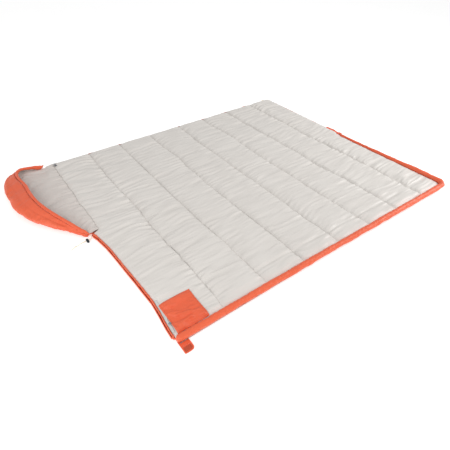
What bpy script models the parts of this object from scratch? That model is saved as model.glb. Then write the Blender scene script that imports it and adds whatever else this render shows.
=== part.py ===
"""A hooded camp quilt: a two-panel sleeping bag opened flat, lining side up.

+X runs to the foot, +Y to the far side and +Z up. The origin is the centre of the back
panel's flat underside, on the ground. The front panel hinges on the fold line at -Y, the
hood on the neck line at -X. Lengths are in metres.
"""

import math

import bmesh
import bpy
from mathutils import Matrix, Vector

# Panels
PANEL_LENGTH = 1.83
PANEL_WIDTH = 0.80
LOFT = 0.030
EDGE_LOFT = 0.014
EDGE_TAPER = 0.026
CORNER_RADIUS = 0.030
SMALL_CORNER = 0.002
CLOTH = 0.0012
GAP = 0.0003
FOLD_CLEARANCE = 0.005
BINDING = 0.006
BINDING_HEIGHT = 0.024
BINDING_CORNER = 0.0026

# Hood
HOOD_NEAR_MARGIN = 0.010
HOOD_FAR_MARGIN = 0.015
HOOD_END_REACH = 0.050
HOOD_REACH = 0.250
HOOD_SKEW = 0.080
MOUTH_REACH = 0.160
MOUTH_SKEW = 0.035
MOUTH_HEIGHT = 0.085
BULGE = 2.36
MOUTH_LOFT = 0.010
HOOD_LOFT = 0.018
HOOD_EASING = 0.4
HOOD_END_LOFT = 0.4
NECK_GAP = 0.0006
HEM_RADIUS = 0.008
HEM_EASE = 0.0012
HEM_NEAR_END = (0.0110, -0.0135, -0.0110)
HEM_FAR_END = (0.0120, 0.0160, -0.0020)
PADDING_EASE = 0.0012
CORD_RADIUS = 0.0015
HOOD_STATIONS = 22
HOOD_ROWS = 11

# Zip, draft tube and trim
TAPE_WIDTH = 0.010
TAPE_THICKNESS = 0.001
TAPE_HEIGHT = 0.006
COIL_WIDTH = 0.0034
COIL_THICKNESS = 0.0026
ZIP_END_INSET = 0.014
ZIP_BOX_GAP = 0.004
ZIP_BOX_WALL = 0.0012
ZIP_BOTTOM_GAP = 0.020
PIN_CLEARANCE = 0.0001
SOCKET_DEPTH = 0.0095
STOP_LENGTH = 0.005
STOP_CORNER = 0.0008
TUBE_RADIUS = 0.015
TUBE_LIFT = 0.009
TUBE_END_GAP = 0.003
FILL_INSET = 0.004
FILL_EASE = 0.0006
WEBBING = 0.0012
SNAG_WIDTH = 0.008
SNAG_THICKNESS = 0.0006
LABEL_LENGTH = 0.146
LABEL_WIDTH = 0.160
LABEL_INSET = 0.008
NECK_TAPE_WIDTH = 0.010
NECK_TAPE_LENGTH = 0.175
NECK_TAPE_INSET = 0.0005
SNAP_INSET = 0.0444
SNAP_PROFILE = ((0.0055, 0.0), (0.0055, 0.0010), (0.0026, 0.0013), (0.0023, 0.0026), (0.0015, 0.0030))
NECK_LOOP_LENGTH = 0.022
NECK_LOOP_WIDTH = 0.016
NECK_LOOP_BAND = 0.004
NECK_LOOP_ROOT = 0.008
NECK_LOOP_FROM_FOLD = 0.046
END_STRIP_LENGTH = 0.147
END_STRIP_WIDTH = 0.020
LOOP_LENGTH = 0.026
LOOP_WIDTH = 0.018
LOOP_BAND = 0.005
LOOP_FROM_FOOT = 0.057
LOOP_Z = 0.0115
TAB_LENGTH = 0.026
PATCH_LENGTH = 0.040
PATCH_WIDTH = 0.025
PATCH_INSET = 0.006
PATCH_CORNER = 0.003
FLAP_LENGTH = 0.045
FLAP_REACH = 0.034
FLAP_ROOM = 0.003
FLAP_CORNER = 0.016
HOOK_MARGIN = 0.007

# Zip slider and its pull
SLIDER_LENGTH = 0.016
SLIDER_PLATE = 0.0014
SLIDER_ROOM = 0.0009
BRIDGE_SPAN = 0.0100
BRIDGE_WIDTH = 0.0026
BRIDGE_WALL = 0.0012
BRIDGE_ROOM = 0.0030
PULL_LENGTH = 0.030
PULL_WIDTH = 0.0090
PULL_THICKNESS = 0.0014
PULL_BAR = 0.0016
PULL_EYE = 0.0072
PULL_RAIL = 0.0018
PULL_CORNER = 0.003
EYE_CORNER = 0.0006
HEAD_SLIDER_INSET = 0.030
FOOT_SLIDER_INSET = 0.240

# Cord lock
BARREL_RADIUS = 0.0065
BARREL_LENGTH = 0.018
BARREL_WALL = 0.0012
LOCK_CLEARANCE = 0.0003
PLUNGER_STAND = 0.006
PLUNGER_TRAVEL = 0.0022
CORD_CLEARANCE = 0.0007
PLUNGER_BACK = 0.0010
SPRING_WIRE = 0.00025
SPRING_TURNS = 3
SPRING_SIDES = 10
CUTTER_MARGIN = 0.002

# Knots on the drawcord
KNOT_RADIUS = 0.0034
KNOT_LENGTH = 0.007
KNOT_STEPS = 6
KNOT_FULLNESS = 0.6

# Places that follow from the sizes above
HEAD_X = -PANEL_LENGTH / 2
FOOT_X = PANEL_LENGTH / 2
FOLD_Y = -PANEL_WIDTH / 2
FAR_Y = PANEL_WIDTH / 2
NEAR_Y = FOLD_Y - PANEL_WIDTH
HINGE_Z = LOFT + FOLD_CLEARANCE
TUBE_Z = TUBE_LIFT + TUBE_RADIUS
COIL_OFFSET = TAPE_WIDTH + 2 * GAP + COIL_WIDTH / 2
FRONT_HEAD_X = HEAD_X + BINDING + GAP
NECK_TAPE_X = FRONT_HEAD_X + NECK_TAPE_INSET
FLAP_Z = TAPE_HEIGHT - COIL_THICKNESS / 2 - 2 * GAP - CLOTH / 2
HEAD_SLIDER_X = HEAD_X + HEAD_SLIDER_INSET
FOOT_SLIDER_X = FOOT_X - FOOT_SLIDER_INSET
TUBE_OFFSET = math.sqrt((TUBE_RADIUS + GAP) ** 2 - (TUBE_Z - EDGE_LOFT) ** 2)
FRONT_EDGE_Y = NEAR_Y + TUBE_RADIUS + TUBE_OFFSET
FRONT_FOOT_X = FOOT_X - TUBE_RADIUS - TUBE_OFFSET

# The cord's way out of the hem, as steps from the mouth of the hem at its near end
CORD_STEPS = (
    (0.0000, 0.0000, 0.0000),
    (0.0026, -0.0030, -0.0025),
    (0.0046, -0.0068, -0.0058),
    (0.0048, -0.0112, -0.0096),
    (0.0024, -0.0152, -0.0131),
    (-0.0026, -0.0172, -0.0156),
    (-0.0090, -0.0176, -0.0167),
    (-0.0200, -0.0176, -0.0169),
    (-0.0320, -0.0176, -0.0169),
    (-0.0440, -0.0176, -0.0170),
    (-0.0530, -0.0180, -0.0183),
    (-0.0620, -0.0192, -0.0210),
    (-0.0720, -0.0212, -0.0219),
    (-0.0820, -0.0238, -0.0203),
    (-0.0910, -0.0272, -0.0215),
    (-0.1000, -0.0315, -0.0221),
    (-0.1080, -0.0362, -0.0222),
)
CORD_SAMPLES = 4
KNOT_STEP = 13
LOCK_STEP = 7

ORANGE = ("orange_taffeta", (0.83, 0.155, 0.075), 0.62, 0.0)
LINING = ("warm_grey_taffeta", (0.66, 0.63, 0.59), 0.45, 0.0)
FILL = ("white_batting", (0.86, 0.86, 0.84), 0.95, 0.0)
TAPE = ("orange_zip_tape", (0.74, 0.14, 0.07), 0.80, 0.0)
COIL = ("nylon_coil", (0.60, 0.58, 0.55), 0.35, 0.0)
WEB = ("cream_webbing", (0.74, 0.66, 0.46), 0.85, 0.0)
GREY_WEB = ("grey_webbing", (0.58, 0.58, 0.56), 0.80, 0.0)
HOOKS = ("hook_tape", (0.16, 0.16, 0.17), 0.90, 0.0)
STEEL = ("grey_steel", (0.30, 0.31, 0.33), 0.35, 0.9)
BLACK = ("black_plastic", (0.012, 0.022, 0.026), 0.40, 0.0)
SPRING = ("spring_steel", (0.55, 0.55, 0.56), 0.30, 1.0)
CORD = ("cream_cord", (0.72, 0.64, 0.42), 0.85, 0.0)


def clear_scene():
    for obj in list(bpy.data.objects):
        bpy.data.objects.remove(obj, do_unlink=True)


def joint_frame(name, location, parent=None):
    """An empty on a joint's axis, which the pieces of the moving body hang from."""
    empty = bpy.data.objects.new(name, None)
    empty.empty_display_size = 0.05
    bpy.context.collection.objects.link(empty)
    place(empty, parent)
    empty["at"] = tuple(location)
    empty.location = location
    return empty


def place(obj, parent):
    """Parents an object that is modelled in world coordinates."""
    if parent is not None:
        obj.parent = parent
        obj.matrix_parent_inverse = Matrix.Translation(-Vector(parent["at"]))


def dress(obj, finish, parent):
    """Gives an object its own material and parent."""
    kind, colour, roughness, metallic = finish
    material = bpy.data.materials.new(f"{obj.name}_{kind}")
    material.use_nodes = True
    shader = material.node_tree.nodes["Principled BSDF"]
    shader.inputs["Base Color"].default_value = (*colour, 1.0)
    shader.inputs["Roughness"].default_value = roughness
    shader.inputs["Metallic"].default_value = metallic
    material.diffuse_color = (*colour, 1.0)
    obj.data.materials.append(material)
    place(obj, parent)
    return obj


def loft(name, rings, finish, parent=None, closed=False, smooth=False):
    """A solid through equal rings of points, capped at both ends or closed on itself."""
    mesh = bmesh.new()
    rows = [[mesh.verts.new(point) for point in ring] for ring in rings]
    pairs = list(zip(rows, rows[1:]))
    if closed:
        pairs.append((rows[-1], rows[0]))
    for low, high in pairs:
        for i in range(len(low)):
            j = (i + 1) % len(low)
            mesh.faces.new((low[i], low[j], high[j], high[i]))
    if not closed:
        mesh.faces.new(rows[0][::-1])
        mesh.faces.new(rows[-1])
    bmesh.ops.recalc_face_normals(mesh, faces=mesh.faces)
    data = bpy.data.meshes.new(name)
    mesh.to_mesh(data)
    mesh.free()
    if smooth:
        data.shade_smooth()
        data.set_sharp_from_angle(angle=math.radians(50))
    obj = bpy.data.objects.new(name, data)
    bpy.context.collection.objects.link(obj)
    return dress(obj, finish, parent)


def prism(name, outline, start, end, axis, finish, parent=None):
    """A flat outline pushed along one axis: X takes (y, z), Y takes (x, z), Z takes (x, y)."""
    def spot(u, v, at):
        if axis == "X":
            return (at, u, v)
        if axis == "Y":
            return (u, at, v)
        return (u, v, at)

    rings = [[spot(u, v, at) for u, v in outline] for at in (start, end)]
    return loft(name, rings, finish, parent)


def box_outline(x0, x1, y0, y1, radius, steps=2):
    """A rectangle's outline with four equal corners."""
    return rounded_rectangle(x0, x1, y0, y1, [radius] * 4, steps)


def rounded_rectangle(x0, x1, y0, y1, radii, steps=5):
    """Points round a rectangle from its (x0, y0) corner, with a radius for each corner."""
    corners = ((x0, y0, 1, 1), (x1, y0, -1, 1), (x1, y1, -1, -1), (x0, y1, 1, -1))
    points = []
    for index, ((x, y, sx, sy), radius) in enumerate(zip(corners, radii)):
        start = math.pi + index * math.pi / 2
        centre_x = x + sx * radius
        centre_y = y + sy * radius
        for step in range(steps + 1):
            angle = start + step / steps * math.pi / 2
            points.append((centre_x + radius * math.cos(angle), centre_y + radius * math.sin(angle)))
    return points


def path_frames(path):
    """(point, side, up) along a path that never runs straight up."""
    frames = []
    for i, point in enumerate(path):
        ahead = Vector(path[min(i + 1, len(path) - 1)]) - Vector(path[max(i - 1, 0)])
        side = ahead.cross(Vector((0, 0, 1))).normalized()
        frames.append((Vector(point), side, side.cross(ahead).normalized()))
    return frames


def swept_rings(path, sections):
    """The (side, up) points of each section, carried to its place on a path."""
    return [
        [tuple(point + side * u + up * v) for u, v in section]
        for (point, side, up), section in zip(path_frames(path), sections)
    ]


def circle(radius, sides):
    return [
        (radius * math.cos(2 * math.pi * i / sides), radius * math.sin(2 * math.pi * i / sides))
        for i in range(sides)
    ]


def hollow_tube(name, path, radii, wall, sides, finish, parent):
    """A tube open at both ends, with a radius for each point of its path."""
    outer = swept_rings(path, [circle(radius, sides) for radius in radii])
    inner = swept_rings(path, [circle(radius - wall, sides) for radius in radii])
    return loft(name, outer + inner[::-1], finish, parent, closed=True, smooth=True)


def rod(name, path, radius, sides, finish, parent):
    return loft(name, swept_rings(path, [circle(radius, sides)] * len(path)), finish, parent, smooth=True)


def strip(name, path, width, thickness, finish, parent):
    """A flat band along a path, with its middle on the path."""
    u, v = width / 2, thickness / 2
    section = [(-u, -v), (u, -v), (u, v), (-u, v)]
    return loft(name, swept_rings(path, [section] * len(path)), finish, parent)


def cord_curve(name, path, radius, finish, parent):
    """A round cord as a curve with filled ends."""
    data = bpy.data.curves.new(name, "CURVE")
    data.dimensions = "3D"
    data.bevel_depth = radius
    data.bevel_resolution = 2
    data.use_fill_caps = True
    spline = data.splines.new("POLY")
    spline.points.add(len(path) - 1)
    for point, place_on in zip(spline.points, path):
        point.co = (*place_on, 1.0)
    obj = bpy.data.objects.new(name, data)
    bpy.context.collection.objects.link(obj)
    return dress(obj, finish, parent)


def plate_with_hole(name, outer, inner, low, high, finish, parent):
    """A flat plate between two heights, with outlines that have as many points as each other."""
    rings = [
        [(x, y, low) for x, y in outer],
        [(x, y, high) for x, y in outer],
        [(x, y, high) for x, y in inner],
        [(x, y, low) for x, y in inner],
    ]
    return loft(name, rings, finish, parent, closed=True)


def cut(obj, cutter):
    """Takes a hidden cutter away from an object."""
    cutter.hide_render = True
    cutter.display_type = "WIRE"
    boolean = obj.modifiers.new(f"cut_{cutter.name}", "BOOLEAN")
    boolean.operation = "DIFFERENCE"
    boolean.solver = "EXACT"
    boolean.object = cutter


class Panel:
    """One half of the quilt: a shell tray, its batting and the lining on top."""

    def __init__(self, name, head, foot, low, high, outer_side, parent=None):
        self.name = name
        self.bounds = (head, foot, low, high)
        self.outer_side = outer_side
        self.parent = parent

    def ring(self, inset, z, tapered=True):
        """The panel's outline drawn in by an inset, which the straight sides take only in part."""
        head, foot, low, high = self.bounds
        straight = min(inset, CLOTH + GAP) if tapered else inset
        near = inset if self.outer_side < 0 else straight
        far = inset if self.outer_side > 0 else straight
        radii = [SMALL_CORNER] * 4
        radii[1 if self.outer_side < 0 else 2] = max(CORNER_RADIUS - inset, SMALL_CORNER)
        outline = rounded_rectangle(head + straight, foot - inset, low + near, high - far, radii)
        return [(x, y, z) for x, y in outline]

    def build(self):
        wall_top = EDGE_LOFT - CLOTH - GAP
        loft(
            f"{self.name}_shell",
            [
                self.ring(0, 0),
                self.ring(0, wall_top),
                self.ring(CLOTH, wall_top, tapered=False),
                self.ring(CLOTH, CLOTH, tapered=False),
            ],
            ORANGE,
            self.parent,
        )
        seat = CLOTH + GAP
        rise = (LOFT - EDGE_LOFT) / EDGE_TAPER
        loft(
            f"{self.name}_insulation",
            [
                self.ring(seat, seat),
                self.ring(seat, EDGE_LOFT + rise * seat - seat),
                self.ring(EDGE_TAPER, LOFT - seat),
            ],
            FILL,
            self.parent,
        )
        loft(
            f"{self.name}_lining",
            [
                self.ring(EDGE_TAPER, LOFT - CLOTH),
                self.ring(0, EDGE_LOFT - CLOTH),
                self.ring(0, EDGE_LOFT),
                self.ring(EDGE_TAPER, LOFT),
            ],
            LINING,
            self.parent,
        )


def edge_path(side, offset, z, start_inset, end_gap, steps=6):
    """A path outside a panel, from its head corner round its foot corner to the fold line."""
    foot, edge = (FOOT_X, FAR_Y) if side > 0 else (FRONT_FOOT_X, FRONT_EDGE_Y)
    centre_x = foot - CORNER_RADIUS
    centre_y = edge - side * CORNER_RADIUS
    radius = CORNER_RADIUS + offset
    path = [(HEAD_X + start_inset, edge + side * offset, z)]
    for step in range(steps + 1):
        angle = math.pi / 2 * (1 - step / steps)
        path.append((centre_x + radius * math.cos(angle), centre_y + side * radius * math.sin(angle), z))
    path.append((foot + offset, FOLD_Y + side * end_gap, z))
    return path


def build_zip_half(name, side, end_gap, parent=None):
    """A zip tape round two sides of a panel, the coil on its edge and the stop at its head end."""
    tape_middle = TAPE_WIDTH / 2 + GAP
    strip(
        f"{name}_zip_tape",
        edge_path(side, tape_middle, TAPE_HEIGHT, ZIP_END_INSET, end_gap),
        TAPE_WIDTH,
        TAPE_THICKNESS,
        TAPE,
        parent,
    )
    strip(
        f"{name}_zip_coil",
        edge_path(side, COIL_OFFSET, TAPE_HEIGHT, ZIP_END_INSET, end_gap),
        COIL_WIDTH,
        COIL_THICKNESS,
        COIL,
        parent,
    )
    edge = FAR_Y if side > 0 else FRONT_EDGE_Y
    half_width = COIL_WIDTH / 2 + GAP
    half_height = COIL_THICKNESS / 2 + GAP
    middle = edge + side * COIL_OFFSET
    outline = box_outline(
        middle - half_width,
        middle + half_width,
        TAPE_HEIGHT - half_height,
        TAPE_HEIGHT + half_height,
        STOP_CORNER,
    )
    stop_end = HEAD_X + ZIP_END_INSET - GAP
    prism(f"{name}_zip_stop", outline, stop_end - STOP_LENGTH, stop_end, "X", STEEL, parent)


def build_zip_bottom(front):
    """The retaining box on the back panel's half of the zip, and the pin on the front panel's."""
    pin_radius = COIL_THICKNESS / 2
    socket_radius = pin_radius + PIN_CLEARANCE
    half_height = socket_radius + ZIP_BOX_WALL
    box_start = FOLD_Y + ZIP_BOX_GAP
    outline = box_outline(
        FOOT_X + GAP,
        FOOT_X + COIL_OFFSET + COIL_WIDTH,
        TAPE_HEIGHT - half_height,
        TAPE_HEIGHT + half_height,
        ZIP_BOX_WALL,
    )
    box = prism("zip_retaining_box", outline, box_start, FOLD_Y + ZIP_BOTTOM_GAP - GAP, "Y", BLACK)
    socket_x = FOOT_X + COIL_OFFSET
    socket_path = [
        (socket_x, box_start - CUTTER_MARGIN, TAPE_HEIGHT),
        (socket_x, box_start + SOCKET_DEPTH, TAPE_HEIGHT),
    ]
    cut(box, rod("pin_socket_cutter", socket_path, socket_radius, 12, BLACK, None))
    pin_x = FRONT_FOOT_X + COIL_OFFSET
    pin_path = [
        (pin_x, FOLD_Y - ZIP_BOX_GAP, TAPE_HEIGHT),
        (pin_x, FOLD_Y - ZIP_BOTTOM_GAP + GAP, TAPE_HEIGHT),
    ]
    rod("zip_insertion_pin", pin_path, pin_radius, 12, STEEL, front)


def build_slider(name, x):
    """A slider on the back panel's coil, with its bridge and a pull that flips over."""
    middle = FAR_Y + COIL_OFFSET
    slide = joint_frame(f"{name}_slide_frame", (x, middle, TAPE_HEIGHT))
    inside = COIL_THICKNESS / 2 + SLIDER_ROOM
    low, high = TAPE_HEIGHT - inside, TAPE_HEIGHT + inside
    wall = middle + COIL_WIDTH / 2 + SLIDER_ROOM
    lip = middle - COIL_WIDTH / 2 - SLIDER_ROOM
    back = lip - SLIDER_PLATE
    slot = TAPE_THICKNESS / 2 + SLIDER_ROOM
    outline = (
        (back, low - SLIDER_PLATE),
        (wall + SLIDER_PLATE, low - SLIDER_PLATE),
        (wall + SLIDER_PLATE, high + SLIDER_PLATE),
        (back, high + SLIDER_PLATE),
        (back, TAPE_HEIGHT + slot),
        (lip, TAPE_HEIGHT + slot),
        (lip, high),
        (wall, high),
        (wall, low),
        (lip, low),
        (lip, TAPE_HEIGHT - slot),
        (back, TAPE_HEIGHT - slot),
    )
    half = SLIDER_LENGTH / 2
    prism(f"{name}_body", outline, x - half, x + half, "X", STEEL, slide)
    deck = high + SLIDER_PLATE + GAP
    out, inn = BRIDGE_SPAN / 2, BRIDGE_SPAN / 2 - BRIDGE_WALL
    top = deck + BRIDGE_ROOM
    arch = (
        (x - out, deck),
        (x - out, top + BRIDGE_WALL / 2),
        (x - inn, top + BRIDGE_WALL),
        (x + inn, top + BRIDGE_WALL),
        (x + out, top + BRIDGE_WALL / 2),
        (x + out, deck),
        (x + inn, deck),
        (x + inn, top),
        (x - inn, top),
        (x - inn, deck),
    )
    prism(f"{name}_bridge", arch, middle - BRIDGE_WIDTH / 2, middle + BRIDGE_WIDTH / 2, "Y", STEEL, slide)
    axis_z = deck + BRIDGE_ROOM / 2
    flip = joint_frame(f"{name}_pull_frame", (x, middle, axis_z), slide)
    half_width = PULL_WIDTH / 2
    outer = rounded_rectangle(
        x - PULL_LENGTH,
        x + PULL_BAR / 2,
        middle - half_width,
        middle + half_width,
        [PULL_CORNER, EYE_CORNER, EYE_CORNER, PULL_CORNER],
        3,
    )
    inner = box_outline(
        x + PULL_BAR / 2 - PULL_EYE,
        x - PULL_BAR / 2,
        middle - half_width + PULL_RAIL,
        middle + half_width - PULL_RAIL,
        EYE_CORNER,
        3,
    )
    half_pull = PULL_THICKNESS / 2
    plate_with_hole(f"{name}_pull", outer, inner, axis_z - half_pull, axis_z + half_pull, STEEL, flip)


def build_front_edge(front):
    """The draft tube with its filling and the stiff tape that keeps it out of the zip."""
    route = edge_path(-1, TUBE_OFFSET, TUBE_Z, 0.0, TUBE_END_GAP)
    hollow_tube("draft_tube_cover", route, [TUBE_RADIUS] * len(route), CLOTH, 12, ORANGE, front)
    route = edge_path(-1, TUBE_OFFSET, TUBE_Z, FILL_INSET, TUBE_END_GAP + FILL_INSET)
    rod("draft_tube_fill", route, TUBE_RADIUS - CLOTH - FILL_EASE, 10, FILL, front)
    snag_z = TAPE_HEIGHT + TAPE_THICKNESS / 2 + GAP + SNAG_THICKNESS / 2
    route = edge_path(-1, SNAG_WIDTH / 2 + GAP, snag_z, ZIP_END_INSET, ZIP_BOTTOM_GAP)
    strip("anti_snag_tape", route, SNAG_WIDTH, SNAG_THICKNESS, GREY_WEB, front)


def build_end_strip():
    """The flat strip that covers the zip past the end of the draft tube."""
    inner = FOOT_X + GAP
    outer = inner + END_STRIP_WIDTH
    low, high = TUBE_LIFT, TUBE_LIFT + CLOTH
    section = ((inner, low), (outer, low), (outer, high), (inner, high))
    prism("draft_end_strip", section, FOLD_Y + TUBE_END_GAP, FOLD_Y + END_STRIP_LENGTH, "Y", ORANGE)


def build_hanging_loop():
    """The webbing loop at the foot corner of the far edge."""
    x = FOOT_X - LOOP_FROM_FOOT
    y = FAR_Y + GAP
    turn = LOOP_WIDTH / 2 - 2 * GAP
    inner_turn = turn - LOOP_BAND
    outer = rounded_rectangle(
        x, x + LOOP_WIDTH, y, y + LOOP_LENGTH, [SMALL_CORNER, SMALL_CORNER, turn, turn], 4
    )
    inner = rounded_rectangle(
        x + LOOP_BAND,
        x + LOOP_WIDTH - LOOP_BAND,
        y + LOOP_BAND,
        y + LOOP_LENGTH - LOOP_BAND,
        [SMALL_CORNER / 2, SMALL_CORNER / 2, inner_turn, inner_turn],
        4,
    )
    plate_with_hole("hanging_loop", outer, inner, LOOP_Z, LOOP_Z + WEBBING, WEB, None)


def build_back_trim():
    """The back panel's edge tab, which stays clear of the sliders, and its loop patch."""
    tab_x = FOOT_SLIDER_X + SLIDER_LENGTH / 2
    slider_side = COIL_OFFSET - COIL_WIDTH / 2 - SLIDER_ROOM - SLIDER_PLATE
    tab_reach = min(slider_side, COIL_OFFSET - PULL_WIDTH / 2) - GAP
    outline = box_outline(tab_x, tab_x + TAB_LENGTH, FAR_Y + GAP, FAR_Y + tab_reach, SMALL_CORNER)
    prism("far_edge_tab", outline, LOOP_Z, LOOP_Z + WEBBING, "Z", ORANGE)
    patch_x = HEAD_X + PATCH_INSET
    patch_y = FAR_Y - EDGE_TAPER - PATCH_INSET
    outline = box_outline(
        patch_x, patch_x + PATCH_LENGTH, patch_y - PATCH_WIDTH, patch_y, PATCH_CORNER, 3
    )
    top = LOFT + GAP
    prism("garage_loop_patch", outline, top, top + WEBBING, "Z", HOOKS)


def build_neck_trim(front):
    """What is sewn along the front panel's head end: binding, neck tape, snap and cord loop."""
    section = box_outline(HEAD_X, HEAD_X + BINDING, 0.0, BINDING_HEIGHT, BINDING_CORNER, 3)
    start = FRONT_EDGE_Y + CORNER_RADIUS / 4
    prism("neck_binding", section, start, FOLD_Y - SMALL_CORNER, "Y", ORANGE, front)
    top = LOFT + GAP
    tape_y = FRONT_EDGE_Y + EDGE_TAPER
    outline = box_outline(
        NECK_TAPE_X, NECK_TAPE_X + NECK_TAPE_WIDTH, tape_y, tape_y + NECK_TAPE_LENGTH, SMALL_CORNER / 2
    )
    prism("neck_tape", outline, top, top + WEBBING, "Z", GREY_WEB, front)
    snap_x = NECK_TAPE_X + NECK_TAPE_WIDTH / 2
    snap_y = tape_y + SNAP_INSET
    snap_z = top + WEBBING + GAP
    rings = [
        [(snap_x + x, snap_y + y, snap_z + rise) for x, y in circle(radius, 20)]
        for radius, rise in SNAP_PROFILE
    ]
    loft("neck_snap", rings, STEEL, front, smooth=True)
    x = NECK_TAPE_X
    y = FOLD_Y - NECK_LOOP_FROM_FOLD
    turn = NECK_LOOP_WIDTH / 2 - 3 * GAP
    inner_turn = turn - NECK_LOOP_BAND
    outer = rounded_rectangle(
        x, x + NECK_LOOP_LENGTH, y, y + NECK_LOOP_WIDTH, [SMALL_CORNER, turn, turn, SMALL_CORNER], 4
    )
    inner = rounded_rectangle(
        x + NECK_LOOP_ROOT,
        x + NECK_LOOP_LENGTH - NECK_LOOP_BAND,
        y + NECK_LOOP_BAND,
        y + NECK_LOOP_WIDTH - NECK_LOOP_BAND,
        [SMALL_CORNER / 2, inner_turn, inner_turn, SMALL_CORNER / 2],
        4,
    )
    plate_with_hole("neck_cord_loop", outer, inner, top, top + WEBBING, WEB, front)


def build_label(front):
    """The plain patch beside the neck tape, which runs down the panel's tapered edge."""
    top = LOFT + GAP
    shelf_y = FRONT_EDGE_Y + EDGE_TAPER
    low_y = FRONT_EDGE_Y + LABEL_INSET
    high_y = low_y + LABEL_WIDTH
    low_z = EDGE_LOFT + (LOFT - EDGE_LOFT) / EDGE_TAPER * LABEL_INSET + 2 * GAP
    half_cloth = WEBBING / 2
    profile = (
        (low_y, low_z),
        (shelf_y, top),
        (high_y, top),
        (high_y, top + half_cloth),
        (shelf_y, top + half_cloth),
        (low_y, low_z + half_cloth),
    )
    x = NECK_TAPE_X + NECK_TAPE_WIDTH + GAP
    prism("label_patch", profile, x, x + LABEL_LENGTH, "X", ORANGE, front)


def build_garage_flap(front):
    """The flap at the head end of the zip, which folds up over the parked slider."""
    hinge_y = NEAR_Y - FLAP_ROOM
    low, high = FLAP_Z - CLOTH / 2, FLAP_Z + CLOTH / 2
    end_x = HEAD_X + FLAP_LENGTH
    root_y = hinge_y + CLOTH / 2 + GAP
    root = box_outline(HEAD_X, end_x, root_y, FRONT_EDGE_Y - GAP, SMALL_CORNER / 2)
    prism("garage_flap_root", root, low, high, "Z", ORANGE, front)
    hinge = joint_frame("flap_frame", (HEAD_X + FLAP_LENGTH / 2, hinge_y, FLAP_Z), front)
    outline = rounded_rectangle(
        HEAD_X,
        end_x,
        hinge_y - FLAP_REACH,
        hinge_y,
        [PATCH_CORNER, FLAP_CORNER, SMALL_CORNER / 2, SMALL_CORNER / 2],
    )
    prism("garage_flap", outline, low, high, "Z", ORANGE, hinge)
    outline = rounded_rectangle(
        HEAD_X + HOOK_MARGIN,
        end_x - HOOK_MARGIN,
        hinge_y - FLAP_REACH + HOOK_MARGIN,
        hinge_y - HOOK_MARGIN,
        [SMALL_CORNER, FLAP_CORNER - HOOK_MARGIN, SMALL_CORNER, SMALL_CORNER],
        4,
    )
    prism("garage_hook_patch", outline, high + GAP, high + GAP + WEBBING, "Z", HOOKS, hinge)


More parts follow.
